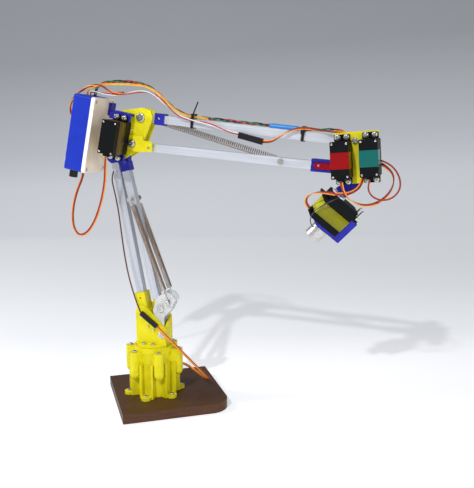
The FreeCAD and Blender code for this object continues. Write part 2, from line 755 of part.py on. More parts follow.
def forearm_top_sleeve():
    first = along(TOP_START, TOP_END, 23.0)
    last = along(TOP_START, TOP_END, 35.5)
    sleeve = bar(first, last, 7.0, 7.0)
    inside = TUBE / 2 + GAP
    return sleeve.cut(bar(TOP_START, along(TOP_START, TOP_END, 60), inside, inside))


def on_top_tube(shape, distance):
    """Place a shape made with +X along the top tube and +Z away from its upper face."""
    x, z = along(TOP_START, TOP_END, distance)
    fall = math.degrees(math.atan2(TOP_START[1] - TOP_END[1], TOP_END[0] - TOP_START[0]))
    return lean(shape, fall, V(x, 0, z))


def cable_ties():
    ties = []
    reach = TUBE / 2 + BUNDLE + 0.9
    for distance in TIES:
        hoop = box((-1.6, 1.6), (-6.4, 6.4), (-6.4, reach + 1.2))
        hoop = hoop.cut(box((-2, 2), (-5.2, 5.2), (-5.2, reach)))
        head = box((-2.2, 2.2), (-9.4, -6.4), (2.0, 6.6))
        ties.append(on_top_tube(join(hoop, head), distance))
    tail = box((-0.5, 0.5), (-9.0, -6.8), (6.6, 27.0))
    tail.rotate(V(0, 0, 6.6), V(0, 1, 0), 18.0)
    ties[0] = join(ties[0], on_top_tube(tail, TIES[0]))
    return ties


def wire_connector():
    """The black plug pair strapped in front of the top tube."""
    return lean(box((-15.2, 15.2), (-10.2, -5.1), (-3.6, 3.6)), 14.8, V(133.0, 0, 343.4))


def heat_shrink():
    sleeve = disc_x(0, TUBE / 2 + BUNDLE / 2 + 0.3, BUNDLE / 2 + 0.9, (0, 34.0))
    sleeve = sleeve.cut(disc_x(0, TUBE / 2 + BUNDLE / 2 + 0.3, BUNDLE / 2 + 0.3, (-1, 35.0)))
    sleeve = sleeve.cut(box((-1, 35), (-6, 6), (0, TUBE / 2 + 0.02)))
    return on_top_tube(sleeve, 168.0)


def forearm_bottom_tube():
    tube = drill(square_tube(BOTTOM_START, BOTTOM_END), FORE_SPRING, 2.0 + HOLE)
    return drill(tube, LEVER_PIN, 1.5 + HOLE)


LEVER_FRONT = [
    (-27.5, 341),
    (-27, 347.6),
    (-4, 345.6),
    (-3.8, 340.3),
    (8, 338.4),
    (6.8, 326.2),
    (-11, 326.2),
    (-18, 327.3),
    (-26, 331),
]
LEVER_BACK = [
    (-27.5, 333),
    (-26, 341.5),
    (-16, 344.5),
    (-8, 336.6),
    (6, 335.4),
    (5.4, 327.4),
    (-11, 327.2),
    (-18, 327.8),
]


def levers():
    pair = []
    for outline, side in ((LEVER_FRONT, -1), (LEVER_BACK, 1)):
        near, far = sorted((side * LEVER_Y[0], side * LEVER_Y[1]))
        collar_y = tuple(sorted((side * (TUBE / 2 + 0.02), side * LEVER_Y[0])))
        piece = join(plate(outline, (near, far), 1.0), disc_y(LEVER_PIN, 3.0, collar_y))
        piece = drill(piece, FORE_LOW, 2.5 + FIT)
        pair.append(drill(piece, LEVER_PIN, 1.5 + HOLE))
    return pair


def wrist_link():
    """The end block of the bottom tube, grooved in front for the servo horn."""
    start = along(BOTTOM_END, BOTTOM_START, 8.7)
    block = bar(start, WRIST_DRIVE, 7.3, 7.0)
    block = join(block, disc_y(WRIST_DRIVE, 7.3, (-7.0, 7.0)))
    inside = TUBE / 2 + GAP
    tube_tip = along(BOTTOM_END, WRIST_DRIVE, 0.3)
    block = block.cut(bar(along(BOTTOM_END, BOTTOM_START, 20.0), tube_tip, inside, inside))
    groove = bar(start, along(WRIST_DRIVE, BOTTOM_END, -12.0), 4.0, 7.0)
    groove = groove.common(box((150, 300), (-8, -5.2), (250, 350)))
    return block.cut(groove)


def wrist_horn():
    """The long metal horn in the end block's groove, with its output shaft."""
    start = along(WRIST_DRIVE, BOTTOM_END, 32.75)
    arm = bar(start, WRIST_DRIVE, 3.75, 9.0).common(box((150, 300), (-8.7, -5.25), (250, 350)))
    arm = arm.fuse(disc_y(start, 3.75, (-8.7, -5.25)))
    end = disc_y(WRIST_DRIVE, 6.0, (-8.7, -7.1))
    hub = disc_y(WRIST_DRIVE, 4.6, (HORN_FRONT, -8.7))
    shaft = disc_y(WRIST_DRIVE, SHAFT_R, (SHAFT_FRONT, HORN_FRONT))
    return join(arm, end, hub, shaft)


def forearm_bottom_bolts():
    post = disc_y(FORE_SPRING, 2.0, (-6.0, 17.5))
    post = join(post, disc_y(FORE_SPRING, 3.4, (-8.0, -6.0)), disc_y(FORE_SPRING, 3.2, (17.5, 18.9)))
    pin = disc_y(LEVER_PIN, 1.5, (-LEVER_Y[1], LEVER_Y[1]))
    return [post, pin]


def forearm_spring():
    low = along(FORE_SPRING, FORE_TOP, 6.5)
    high = along(FORE_TOP, FORE_SPRING, 8.5)
    way = V(high[0] - low[0], 0, high[1] - low[1])
    return Part.makeCylinder(4.2, way.Length, V(low[0], 13.3, low[1]), way)


# Wrist


def on_wrist(shape):
    return lean(shape, WRIST_LEAN, WRIST_AT)


def wrist_servo(middle):
    shape = servo()
    shape.translate(V(middle[0], SERVO_FRONT, middle[1]))
    return on_wrist(shape)


def wrist_lug_screws():
    solids = []
    for middle in (RED_MIDDLE, TEAL_MIDDLE):
        for solid in lug_screws():
            solid.translate(V(middle[0], SERVO_FRONT, middle[1]))
            solids.append(on_wrist(solid))
    return solids


def wrist_plate():
    """The yellow plate that holds both wrist servos and the clevis of the top tube."""
    body = box((-9, 40), WRIST_Y, (-17.2, 40.2))
    for middle in (RED_MIDDLE, TEAL_MIDDLE):
        half = SERVO_LENGTH / 2 + 0.25
        x = (middle[0] - 10.2, middle[0] + 10.2)
        body = body.cut(box(x, (-25, -10), (middle[1] - half, middle[1] + half)))
    rib = box((11.5, 19.5), (WRIST_Y[1], -6.2), (20, 40.2))
    front = box((6, 28.5), (-9.3, -6.2), (20, 40.2))
    back = box((6, 28.5), (6.2, 9.3), (20, 40.2))
    end = box((24.2, 28.5), (-9.3, 9.3), (20, 40.2))
    body = join(body, rib, front, back, end)
    for middle in (RED_MIDDLE, TEAL_MIDDLE):
        for x in (-LUG_HOLE[0], LUG_HOLE[0]):
            for z in (-LUG_HOLE[1], LUG_HOLE[1]):
                place = (middle[0] + x, middle[1] + z)
                body = body.cut(disc_y(place, 1.6 + HOLE, (-25, WRIST_Y[1] + 0.5)))
    return drill(on_wrist(body), WRIST_PIVOT, 1.5 + HOLE)


def wrist_pivot_bolt():
    bush = drill(disc_y(WRIST_PIVOT, 3.2, (WRIST_Y[0] - 2.6, WRIST_Y[0])), WRIST_PIVOT, 1.5 + HOLE)
    return [
        bush,
        bolt(WRIST_PIVOT, 1.5, (WRIST_Y[0] - 2.6, 12.5), 2.3, 1.4),
        nut(WRIST_PIVOT, 1.5, (9.3, 12.0)),
    ]


# Tool


def tool_frame():
    """The matrix of the tool servo: its y axis is the shaft, its -z end holds the shaft."""
    rise = math.radians(TOOL_RISE)
    roll = math.radians(TOOL_ROLL)
    shaft = V(math.cos(rise), 0, math.sin(rise))
    level = V(math.sin(rise), 0, -math.cos(rise))
    z_way = level * math.cos(roll) + V(0, 1, 0) * math.sin(roll)
    x_way = shaft.cross(z_way)
    at = TOOL_TOP + z_way * SHAFT_OFF - shaft * SERVO_DEPTH
    return FreeCAD.Matrix(
        x_way.x, shaft.x, z_way.x, at.x,
        x_way.y, shaft.y, z_way.y, at.y,
        x_way.z, shaft.z, z_way.z, at.z,
        0, 0, 0, 1,
    )


def on_tool(shape):
    moved = shape.copy()
    moved.Placement = FreeCAD.Placement(tool_frame())
    return moved


def pitch_bracket():
    """From the teal-banded servo's shaft down to the tool servo's shaft."""
    hub_at = leant((TEAL_MIDDLE[0], TEAL_MIDDLE[1] - SHAFT_OFF), WRIST_LEAN, WRIST_AT)
    y = (HORN_FRONT, -8.4)
    hub = disc_y(hub_at, 8.0, y)
    stub = disc_y(hub_at, SHAFT_R, (SHAFT_FRONT, y[0]))
    arm = plate([(271, 319.2), (282.5, 308.5), (250.2, 279.6), (239.8, 290.2)], y)
    rise = math.radians(TOOL_RISE)
    shaft = V(math.cos(rise), 0, math.sin(rise))
    flange = box((-24.0 - TOOL_TOP.y, y[1] - TOOL_TOP.y), (4.3, 7.3), (-7.0, 8.0))
    flange = join(flange, disc_y((0, 0), SHAFT_R, (-5.0, 4.3)))
    level = V(math.sin(rise), 0, -math.cos(rise))
    side = V(0, 1, 0)
    flange.Placement = FreeCAD.Placement(FreeCAD.Matrix(
        side.x, shaft.x, level.x, TOOL_TOP.x,
        side.y, shaft.y, level.y, TOOL_TOP.y,
        side.z, shaft.z, level.z, TOOL_TOP.z,
        0, 0, 0, 1,
    ))
    return join(hub, stub, arm, flange)


def tool_servo():
    return on_tool(servo())


POST_TOP = 27.4


def angle_bracket():
    """Under the tool servo and up its far end to the lug."""
    half = SERVO_LENGTH / 2
    leg = box((-9, 9), (-4.0, -0.1), (MAGNET_Z - 11.0, half + 9.2))
    post = box((-9, 9), (-4.0, POST_TOP), (half + 0.2, half + 9.2))
    bracket = join(leg, post)
    bracket = bracket.cut(disc_y((0, MAGNET_Z), 2.0 + HOLE, (-5, 0)))
    for x in (-LUG_HOLE[0], LUG_HOLE[0]):
        bracket = bracket.cut(disc_y((x, LUG_HOLE[1]), 1.6 + HOLE, (8, POST_TOP + 1)))
    return on_tool(bracket)


def magnet():
    """The electromagnet: a steel cup on a threaded stud."""
    middle = (0, MAGNET_Z)
    cup = disc_y(middle, MAGNET_R, (-4.1 - MAGNET_LENGTH, -4.1))
    groove = disc_y(middle, 8.2, (-4.1 - MAGNET_LENGTH - 1, -4.1 - MAGNET_LENGTH + 1.2))
    groove = groove.cut(disc_y(middle, 4.4, (-30, 0)))
    cup = cup.cut(groove)
    return on_tool(join(cup, disc_y(middle, 2.0, (-4.1, -0.3))))


def tool_screws():
    """The two long screws through the far lug, each with a nut on it."""
    solids = []
    for x in (-LUG_HOLE[0], LUG_HOLE[0]):
        place = (x, LUG_HOLE[1])
        solids.append(on_tool(disc_y(place, 1.6, (10.0, 43.0))))
        solids.append(on_tool(nut(place, 1.6, (LUG_HIGH + 0.02, LUG_HIGH + 3.6))))
    return solids


# Wires. Each route starts at its outlet.

ELBOW_LEAD = [
    (-37.2, -45.5, 320.9),
    (-39.5, -44, 308),
    (-42, -41, 292),
    (-47.5, -38, 273),
    (-56, -34, 253),
    (-66, -30, 236),
    (-79, -26, 222.5),
    (-92, -22, 219),
    (-101, -19, 228),
    (-104, -16, 243),
    (-103, -13, 260),
    (-98, -10.5, 278),
    (-92, -8.5, 291),
    (-89.4, -8, 302.2),
]

TOWER_LEAD = [
    (-46.0, -9.5, 302.0),
    (-49.0, -10.0, 294.0),
    (-47.5, -10.0, 284.0),
    (-44.2, -10.0, 270.0),
    (-40.5, -10.5, 251.0),
    (-37.5, -11.5, 229.0),
    (-33.8, -12.0, 199.5),
    (-28.5, -13.2, 172.0),
    (-22.5, -14.5, 152.0),
    (-15.8, -15.8, 134.0),
    (-10.8, -16.2, 122.0),
]

BASE_LEAD = [
    (11.5, -16.2, 105.2),
    (21, -16.2, 96),
    (32, -13, 84.5),
    (43, -7, 70.5),
    (53.5, 0, 56),
    (62.5, 8.5, 42),
    (68, 17.5, 31),
    (67.5, 26, 24.5),
    (60, 32, 23.5),
    (51, 33, 28.5),
    (43, 29.5, 36),
    (35.5, 24.5, 43),
    (28.2, 19.0, 47.4),
    (19.5, 13.1, 48.0),
]

ARM_BUNDLE = [
    (-75.1, 2, 395.4),
    (-73.8, 2, 402.5),
    (-69, 1.8, 408.8),
    (-61.5, 1.5, 412),
    (-50, 1.2, 412.8),
    (-35, 1, 413),
    (-18, 0.5, 411.5),
    (-1, 0, 407),
    (13, 0, 397.5),
    (26, 0, 385),
    (39, 0, 375),
    (55, 0, 369.4),
    (75.3, 0, 367.1),
    (97.2, 0, 364.9),
    (122, 0, 361.9),
    (146.9, 0, 359.35),
    (171.7, 0, 356.55),
    (196.6, 0, 353.95),
    (218.5, 0, 352.2),
    (231.5, -3.5, 351.0),
    (240.5, -9, 352.5),
]

RED_LEAD = [
    (246.2, -45.25, 297.5),
    (247.5, -45, 291),
    (250.5, -43.5, 284),
    (256, -41, 277.5),
    (264, -37, 272.5),
    (274, -35, 271),
    (285, -33.5, 274),
    (294.5, -31.5, 281.5),
    (300.5, -29.5, 291.5),
    (301.5, -28, 302),
    (296.5, -27, 311),
    (286.9, -26.5, 316.8),
]

TEAL_LEAD = [
    (277.1, -45.25, 300.5),
    (275.5, -45, 294.5),
    (276, -43.5, 287.5),
    (280.5, -42, 281.5),
    (288.5, -41, 278.2),
    (297.5, -40, 279),
    (305, -38, 284),
    (309, -36, 292),
    (308, -34, 302),
    (302.5, -32.5, 311.5),
    (294.5, -31.8, 318),
    (286.5, -31.5, 320.9),
]

TOOL_LEAD = [
    (207.8, -21.9, 264.7),
    (204.5, -25, 269),
    (204, -29, 275.5),
    (208, -32.5, 281),
    (216, -35, 284),
    (227, -36.5, 284.8),
    (239, -37, 283.3),
    (251, -37, 283.2),
    (261, -39, 287.5),
    (267.5, -40.5, 294.5),
    (269, -41, 302.6),
]


save("base_plate", base_plate())
save("base_housing", base_housing())
save("base_cover", base_cover())
save("base_screws", *base_screws())
save("yaw_servo", yaw_servo())
save("turntable", turntable())
save("tower", tower())
save("clear_plates", *clear_plates())
save("tower_screws", *tower_screws())
save("tower_bolts", *tower_bolts())
save("tower_connector", tower_connector())
save("lower_left_tube", lower_left_tube())
save("lower_left_clamp", lower_left_clamp())
save("lower_left_head", lower_left_head())
save("lower_right_tube", lower_right_tube())
save("lower_right_foot", lower_right_foot())
save("lower_right_head", lower_right_head())
save("elbow_horn", elbow_horn())
save("lower_spring_post", lower_spring_post())
save("lower_springs", *lower_springs())
save("elbow_plate_front", elbow_plate_front())
save("elbow_plate_back", elbow_plate_back())
save("elbow_servo", elbow_servo())
save("elbow_lug_screws", *elbow_lug_screws())
save("servo_bracket", servo_bracket())
save("elbow_bolts", *elbow_bolts())
save("box_case", box_case())
save("box_lid", box_lid())
save("lid_screws", *lid_screws())
save("circuit_board", circuit_board())
save("dc_jack", dc_jack())
save("box_button", box_button())
save("forearm_top_tube", forearm_top_tube())
save("forearm_top_sleeve", forearm_top_sleeve())
save("cable_ties", *cable_ties())
save("wire_connector", wire_connector())
save("heat_shrink", heat_shrink())
save("forearm_bottom_tube", forearm_bottom_tube())
save("levers", *levers())
save("wrist_link", wrist_link())
save("wrist_horn", wrist_horn())
save("forearm_bottom_bolts", *forearm_bottom_bolts())
save("forearm_spring", forearm_spring())
save("red_servo", wrist_servo(RED_MIDDLE))
save("teal_servo", wrist_servo(TEAL_MIDDLE))
save("wrist_lug_screws", *wrist_lug_screws())
save("wrist_plate", wrist_plate())
save("wrist_pivot_bolt", *wrist_pivot_bolt())
save("pitch_bracket", pitch_bracket())
save("tool_servo", tool_servo())
save("angle_bracket", angle_bracket())
save("magnet", magnet())
save("tool_screws", *tool_screws())
save("elbow_lead", cord("elbow_lead", ELBOW_LEAD, LEAD))
save("tower_lead", cord("tower_lead", TOWER_LEAD, FINE_LEAD))
save("base_lead", cord("base_lead", BASE_LEAD, LEAD))
save("arm_bundle", cord("arm_bundle", ARM_BUNDLE, BUNDLE))
save("red_lead", cord("red_lead", RED_LEAD, LEAD))
save("teal_lead", cord("teal_lead", TEAL_LEAD, FINE_LEAD))
save("tool_lead", cord("tool_lead", TOOL_LEAD, LEAD))
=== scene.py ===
import math

import bmesh
import bpy
from mathutils import Matrix, Vector


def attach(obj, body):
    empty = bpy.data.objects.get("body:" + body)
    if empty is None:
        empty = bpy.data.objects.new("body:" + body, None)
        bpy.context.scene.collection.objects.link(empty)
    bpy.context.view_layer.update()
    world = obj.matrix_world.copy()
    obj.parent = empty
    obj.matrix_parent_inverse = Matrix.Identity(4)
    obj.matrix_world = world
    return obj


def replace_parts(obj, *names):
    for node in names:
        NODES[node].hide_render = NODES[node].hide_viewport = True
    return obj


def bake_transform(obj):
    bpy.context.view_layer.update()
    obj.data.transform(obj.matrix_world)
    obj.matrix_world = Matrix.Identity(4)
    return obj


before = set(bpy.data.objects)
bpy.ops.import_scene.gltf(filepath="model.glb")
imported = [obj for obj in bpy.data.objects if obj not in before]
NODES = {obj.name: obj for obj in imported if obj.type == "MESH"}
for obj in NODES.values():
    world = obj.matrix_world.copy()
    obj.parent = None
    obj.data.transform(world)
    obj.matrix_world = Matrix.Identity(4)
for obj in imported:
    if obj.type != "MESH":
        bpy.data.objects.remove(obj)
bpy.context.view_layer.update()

# The looks of an electric servo arm, in metres, in the CAD's frame: +X along the arm, +Z up.

# Frames of the leaning parts: x across, y along the servo shaft, z up
ELBOW_LEAN = 11.7
ELBOW_AT = Vector((-0.0326, 0.0, 0.3442))
WRIST_LEAN = -4.25
WRIST_AT = Vector((0.2453, 0.0, 0.3104))
RED_MIDDLE = (0.0, 0.01035)
TEAL_MIDDLE = (0.03104, 0.01105)
TOOL_TOP = Vector((0.2393, -0.0158, 0.2803))
TOOL_RISE = 46.0
TOOL_ROLL = 27.0

# Standard servo
SERVO_FRONT = -0.050
SERVO_HALF_WIDTH = 0.010
SERVO_HALF_LENGTH = 0.02025
SERVO_DEPTH = 0.038
SHAFT_OFF = 0.01035
CASE_SCREW_X = 0.0078
CASE_SCREW_Z = 0.0178
LABEL_DEPTHS = (0.0078, 0.0237)
COVER_LABEL_HEIGHTS = (-0.0095, 0.0085)
COVER_LABEL_DEPTH = 0.022
CORNER = 0.0012

# Ends of the springs, and the pivots that they turn about
SPRING_FOOT = Vector((0.0248, 0.0, 0.1372))
SPRING_HEAD = Vector((-0.0234, 0.0, 0.2665))
SPRING_Y = 0.0095
FORE_TOP = Vector((-0.0072, 0.0, 0.3681))
FORE_SPRING = Vector((0.1688, 0.0, 0.3165))
FORE_SPRING_Y = 0.0133


# Camera, lights and the floor


def make_camera():
    data = bpy.data.cameras.new("camera")
    data.sensor_width = 36.0
    data.lens = 49.82
    camera = bpy.data.objects.new("camera", data)
    camera.location = (0.3521, -0.7838, 0.3554)
    camera.rotation_euler = (math.radians(80.26), 0.0, math.radians(16.91))
    bpy.context.scene.collection.objects.link(camera)
    bpy.context.scene.camera = camera


def area_light(name, place, aim, size, power, colour=(1.0, 1.0, 1.0)):
    data = bpy.data.lights.new(name, "AREA")
    data.shape = "DISK"
    data.size = size
    data.energy = power
    data.color = colour
    lamp = bpy.data.objects.new(name, data)
    lamp.location = place
    lamp.rotation_euler = (Vector(aim) - Vector(place)).to_track_quat("-Z", "Y").to_euler()
    bpy.context.scene.collection.objects.link(lamp)


KEY_PLACE = (-0.11, -2.04, 1.85)


def make_lights():
    area_light("key", KEY_PLACE, (0.1, 0.1, 0.1), 0.09, 35.0)
    area_light("fill", (1.5, -0.8, 0.7), (0.0, 0.0, 0.3), 0.8, 8.5)
    area_light("softbox", (-1.25, -0.45, 1.15), (0.05, 0.0, 0.10), 0.4, 12.0)
    world = bpy.data.worlds.new("studio")
    world.use_nodes = True
    sky = world.node_tree.nodes["Background"]
    sky.inputs["Color"].default_value = (0.93, 0.95, 1.0, 1.0)
    sky.inputs["Strength"].default_value = 0.22
    bpy.context.scene.world = world
    bpy.context.scene.view_settings.view_transform = "Standard"


# The backdrop's brightness against how far back and up it is, in metres from the camera's foot
BACKDROP_TONES = [
    (0.90, 0.85),
    (1.13, 0.70),
    (1.48, 0.645),
    (1.76, 0.635),
    (2.15, 0.645),
    (2.71, 0.505),
    (2.90, 0.395),
    (3.07, 0.325),
    (3.25, 0.250),
    (3.42, 0.235),
]
SIDE_SLOPE = -0.07
# How far the darker part of the backdrop leans from grey to blue
COOL = 0.11
# How much of its brightness the backdrop gives off by itself, which keeps the shadows soft
BACKDROP_GLOW = 0.50
WALL_AT = 2.6
WALL_BEND = 0.35


def backdrop_material():
    material = bpy.data.materials.new("backdrop")
    material.use_nodes = True
    tree = material.node_tree
    tree.nodes.clear()
    place = tree.nodes.new("ShaderNodeTexCoord")
    total = tree.nodes.new("ShaderNodeVectorMath")
    total.operation = "DOT_PRODUCT"
    total.inputs[1].default_value = (SIDE_SLOPE, 1.0, 1.0)
    spread = tree.nodes.new("ShaderNodeMapRange")
    spread.inputs["From Min"].default_value = BACKDROP_TONES[0][0]
    spread.inputs["From Max"].default_value = BACKDROP_TONES[-1][0]
    ramp = tree.nodes.new("ShaderNodeValToRGB")
    first, last = BACKDROP_TONES[0][0], BACKDROP_TONES[-1][0]
    stops = ramp.color_ramp.elements
    for far, tone in BACKDROP_TONES:
        position = (far - first) / (last - first)
        if far == first:
            stop = stops[0]
        elif far == last:
            stop = stops[-1]
        else:
            stop = stops.new(position)
        stop.position = position
        red = 1.0 - COOL * (1.0 - tone)
        stop.color = (tone * red, tone * (1.0 + red) / 2, tone * 1.02, 1.0)
    glow = tree.nodes.new("ShaderNodeEmission")
    glow.inputs["Strength"].default_value = BACKDROP_GLOW
    lit = tree.nodes.new("ShaderNodeBsdfDiffuse")
    both = tree.nodes.new("ShaderNodeAddShader")
    out = tree.nodes.new("ShaderNodeOutputMaterial")
    tree.links.new(place.outputs["Object"], total.inputs[0])
    tree.links.new(total.outputs["Value"], spread.inputs["Value"])
    tree.links.new(spread.outputs[0], ramp.inputs[0])
    tree.links.new(ramp.outputs[0], glow.inputs["Color"])
    tree.links.new(ramp.outputs[0], lit.inputs["Color"])
    tree.links.new(glow.outputs[0], both.inputs[0])
    tree.links.new(lit.outputs[0], both.inputs[1])
    tree.links.new(both.outputs[0], out.inputs["Surface"])
    return material


def make_backdrop():
    """A floor that bends up into a wall behind the object, square to the camera."""
    profile = [(-12.0, 0.0), (0.0, 0.0), (1.0, 0.0), (WALL_AT - WALL_BEND, 0.0)]
    for k in range(1, 13):
        a = math.radians(90.0 * k / 12)
        profile.append((WALL_AT - WALL_BEND + WALL_BEND * math.sin(a), WALL_BEND * (1 - math.cos(a))))
    profile.append((WALL_AT, 4.0))
    mesh = bmesh.new()
    rows = [[mesh.verts.new((x, y, z)) for x in (-10.0, 10.0)] for y, z in profile]
    for near, far in zip(rows, rows[1:]):
        mesh.faces.new((near[0], near[1], far[1], far[0])).smooth = True
    piece = new_object("backdrop", mesh)
    camera = bpy.context.scene.camera
    piece.location = (camera.location.x, camera.location.y, -0.0003)
    piece.rotation_euler = (0.0, 0.0, camera.rotation_euler.z)
    piece.data.materials.append(backdrop_material())


# Helpers


def new_object(name, mesh):
    data = bpy.data.meshes.new(name)
    mesh.normal_update()
    mesh.to_mesh(data)
    mesh.free()
    piece = bpy.data.objects.new(name, data)
    bpy.context.scene.collection.objects.link(piece)
    return piece


def leaning(angle, at):
    return Matrix.Translation(at) @ Matrix.Rotation(math.radians(angle), 4, "Y")


def tool_shaft():
    """The direction of the tool servo's shaft."""
    rise = math.radians(TOOL_RISE)
    return Vector((math.cos(rise), 0.0, math.sin(rise)))


def tool_frame():
    """The frame of the tool servo: x and z across its case, y along its shaft."""
    rise, roll = math.radians(TOOL_RISE), math.radians(TOOL_ROLL)
    shaft = tool_shaft()
    level = Vector((math.sin(rise), 0.0, -math.cos(rise)))
    z_way = level * math.cos(roll) + Vector((0.0, 1.0, 0.0)) * math.sin(roll)
    x_way = shaft.cross(z_way)
    at = TOOL_TOP + z_way * SHAFT_OFF - shaft * SERVO_DEPTH
    return Matrix.Translation(at) @ Matrix((x_way, shaft, z_way)).transposed().to_4x4()


def servo_frame(lean, at, middle):
    """The frame of a servo on the elbow or the wrist: its bottom cover is at y = 0."""
    return leaning(lean, at) @ Matrix.Translation((middle[0], SERVO_FRONT, middle[1]))


# Materials


class Paint:
    """A material with its own node tree, and short ways to add to it."""

    def __init__(self, name):
        self.material = bpy.data.materials.new(name)
        self.material.use_nodes = True
        self.nodes = self.material.node_tree.nodes
        self.links = self.material.node_tree.links
        self.shader = self.nodes["Principled BSDF"]
        self.coordinates = self.nodes.new("ShaderNodeTexCoord").outputs["Object"]
        self.height = None

    def set(self, **values):
        for key, value in values.items():
            self.shader.inputs[key.replace("_", " ")].default_value = value

    def noise(self, scale, detail=3.0, roughness=0.55, stretch=(1.0, 1.0, 1.0), turn=(0.0, 0.0, 0.0)):
        mapping = self.nodes.new("ShaderNodeMapping")
        mapping.vector_type = "TEXTURE"
        mapping.inputs["Rotation"].default_value = turn
        mapping.inputs["Scale"].default_value = stretch
        noise = self.nodes.new("ShaderNodeTexNoise")
        noise.inputs["Scale"].default_value = scale
        noise.inputs["Detail"].default_value = detail
        noise.inputs["Roughness"].default_value = roughness
        self.links.new(self.coordinates, mapping.inputs["Vector"])
        self.links.new(mapping.outputs[0], noise.inputs["Vector"])
        return noise.outputs["Fac"]

    def bands(self, period, turn=(0.0, 0.0, 0.0)):
        """Straight bands across z, a period apart."""
        mapping = self.nodes.new("ShaderNodeMapping")
        mapping.vector_type = "TEXTURE"
        mapping.inputs["Rotation"].default_value = turn
        wave = self.nodes.new("ShaderNodeTexWave")
        wave.bands_direction = "Z"
        wave.inputs["Scale"].default_value = math.pi / (10.0 * period)
        wave.inputs["Distortion"].default_value = 0.25
        wave.inputs["Detail Scale"].default_value = 4.0
        self.links.new(self.coordinates, mapping.inputs["Vector"])
        self.links.new(mapping.outputs[0], wave.inputs["Vector"])
        return wave.outputs["Fac"]

    def between(self, factor, low, high, start=0.3, end=0.7):
        """A colour that runs from low to high as the factor runs from start to end."""
        ramp = self.nodes.new("ShaderNodeValToRGB")
        ramp.color_ramp.elements[0].position = start
        ramp.color_ramp.elements[1].position = end
        ramp.color_ramp.elements[0].color = (*low, 1.0)
        ramp.color_ramp.elements[1].color = (*high, 1.0)
        self.links.new(factor, ramp.inputs[0])
        return ramp.outputs[0]

    def colour(self, socket):
        self.links.new(socket, self.shader.inputs["Base Color"])

    def rough(self, factor, low, high):
        spread = self.nodes.new("ShaderNodeMapRange")
        spread.inputs["To Min"].default_value = low
        spread.inputs["To Max"].default_value = high
        self.links.new(factor, spread.inputs["Value"])
        self.links.new(spread.outputs[0], self.shader.inputs["Roughness"])

    def bump(self, factor, depth, strength=1.0):
        node = self.nodes.new("ShaderNodeBump")
        node.inputs["Distance"].default_value = depth
        node.inputs["Strength"].default_value = strength
        self.links.new(factor, node.inputs["Height"])
        if self.height is not None:
            self.links.new(self.height, node.inputs["Normal"])
        self.height = node.outputs[0]
        self.links.new(self.height, self.shader.inputs["Normal"])


def scaled(colour, by):
    return tuple(c * by for c in colour)


def printed(name, colour, shade=0.86, layer=0.0006, turn=(0.0, 0.0, 0.0), gloss=0.36):
    """Printed plastic: fine layer lines, slight mottling and a satin skin."""
    paint = Paint(name)
    mottle = paint.noise(95.0, 4.0)
    paint.colour(paint.between(mottle, scaled(colour, shade), colour))
    paint.rough(paint.noise(420.0), gloss, gloss + 0.16)
    paint.bump(paint.bands(layer, turn), 0.00006, 0.7)
    paint.bump(paint.noise(1500.0, 2.0), 0.00003, 0.35)
    paint.set(Subsurface_Weight=0.10, Subsurface_Scale=0.002, Specular_IOR_Level=0.22)
    paint.shader.inputs["Subsurface Radius"].default_value = (1.0, 0.8, 0.4)
    return paint.material


def moulded(name, colour, gloss=0.34, grain=900.0, depth=0.00003, shade=0.8, shine=0.45):
    """Moulded plastic with a fine even grain."""
    paint = Paint(name)
    paint.set(Specular_IOR_Level=shine)
    mottle = paint.noise(130.0, 4.0)
    paint.colour(paint.between(mottle, scaled(colour, shade), colour))
    paint.rough(paint.noise(300.0), gloss, gloss + 0.14)
    paint.bump(paint.noise(grain, 3.0), depth, 0.6)
    return paint.material


def film(name, colour):
    """A glossy printed label."""
    paint = Paint(name)
    paint.colour(paint.between(paint.noise(60.0), scaled(colour, 0.88), colour))
    paint.rough(paint.noise(500.0), 0.20, 0.30)
    paint.bump(paint.noise(240.0, 2.0), 0.00004, 0.4)
    paint.set(Coat_Weight=0.15, Coat_Roughness=0.2, Specular_IOR_Level=0.15)
    return paint.material


def extruded(name, turn, shade=1.0):
    """Drawn aluminium tube, its fine lines along the tube. A shade below 1 darkens all of its colour, a
    painted shade.
    """
    paint = Paint(name)
    lines = paint.noise(900.0, 5.0, 0.65, (1.0, 1.0, 60.0), turn)
    paint.colour(paint.between(lines, scaled((0.56, 0.59, 0.65), shade), scaled((0.72, 0.75, 0.81), shade)))
    paint.rough(lines, 0.30, 0.46)
    paint.bump(lines, 0.00003, 0.5)
    paint.bump(paint.noise(38.0, 3.0), 0.0002, 0.12)
    paint.set(Metallic=0.55)
    return paint.material


def steel(name, colour, low=0.18, high=0.36):
    paint = Paint(name)
    paint.colour(paint.between(paint.noise(260.0, 4.0), scaled(colour, 0.72), colour))
    paint.rough(paint.noise(700.0, 4.0), low, high)
    paint.bump(paint.noise(900.0, 3.0), 0.00003, 0.4)
    paint.set(Metallic=1.0)
    return paint.material


def board(name):
    """Dark brown faced board: a faint long grain under a satin film."""
    paint = Paint(name)
    turn = (0.0, 0.0, math.radians(33.8))
    grain = paint.noise(420.0, 6.0, 0.62, (12.0, 1.0, 1.0), turn)
    paint.colour(paint.between(grain, (0.060, 0.025, 0.010), (0.098, 0.043, 0.019)))
    paint.rough(paint.noise(210.0, 4.0), 0.42, 0.56)
    paint.bump(grain, 0.0001, 0.35)
    paint.bump(paint.noise(1300.0, 2.0), 0.00004, 0.5)
    paint.set(Specular_IOR_Level=0.22)
    return paint.material


def acrylic(name):
    """Clear plate with frosted, scuffed faces."""
    paint = Paint(name)
    scuffs = paint.noise(150.0, 5.0)
    paint.colour(paint.between(scuffs, (0.76, 0.78, 0.80), (0.90, 0.91, 0.92)))
    paint.rough(scuffs, 0.06, 0.30)
    paint.bump(scuffs, 0.00006, 0.3)
    paint.set(Transmission_Weight=0.40, IOR=1.35)
    return paint.material


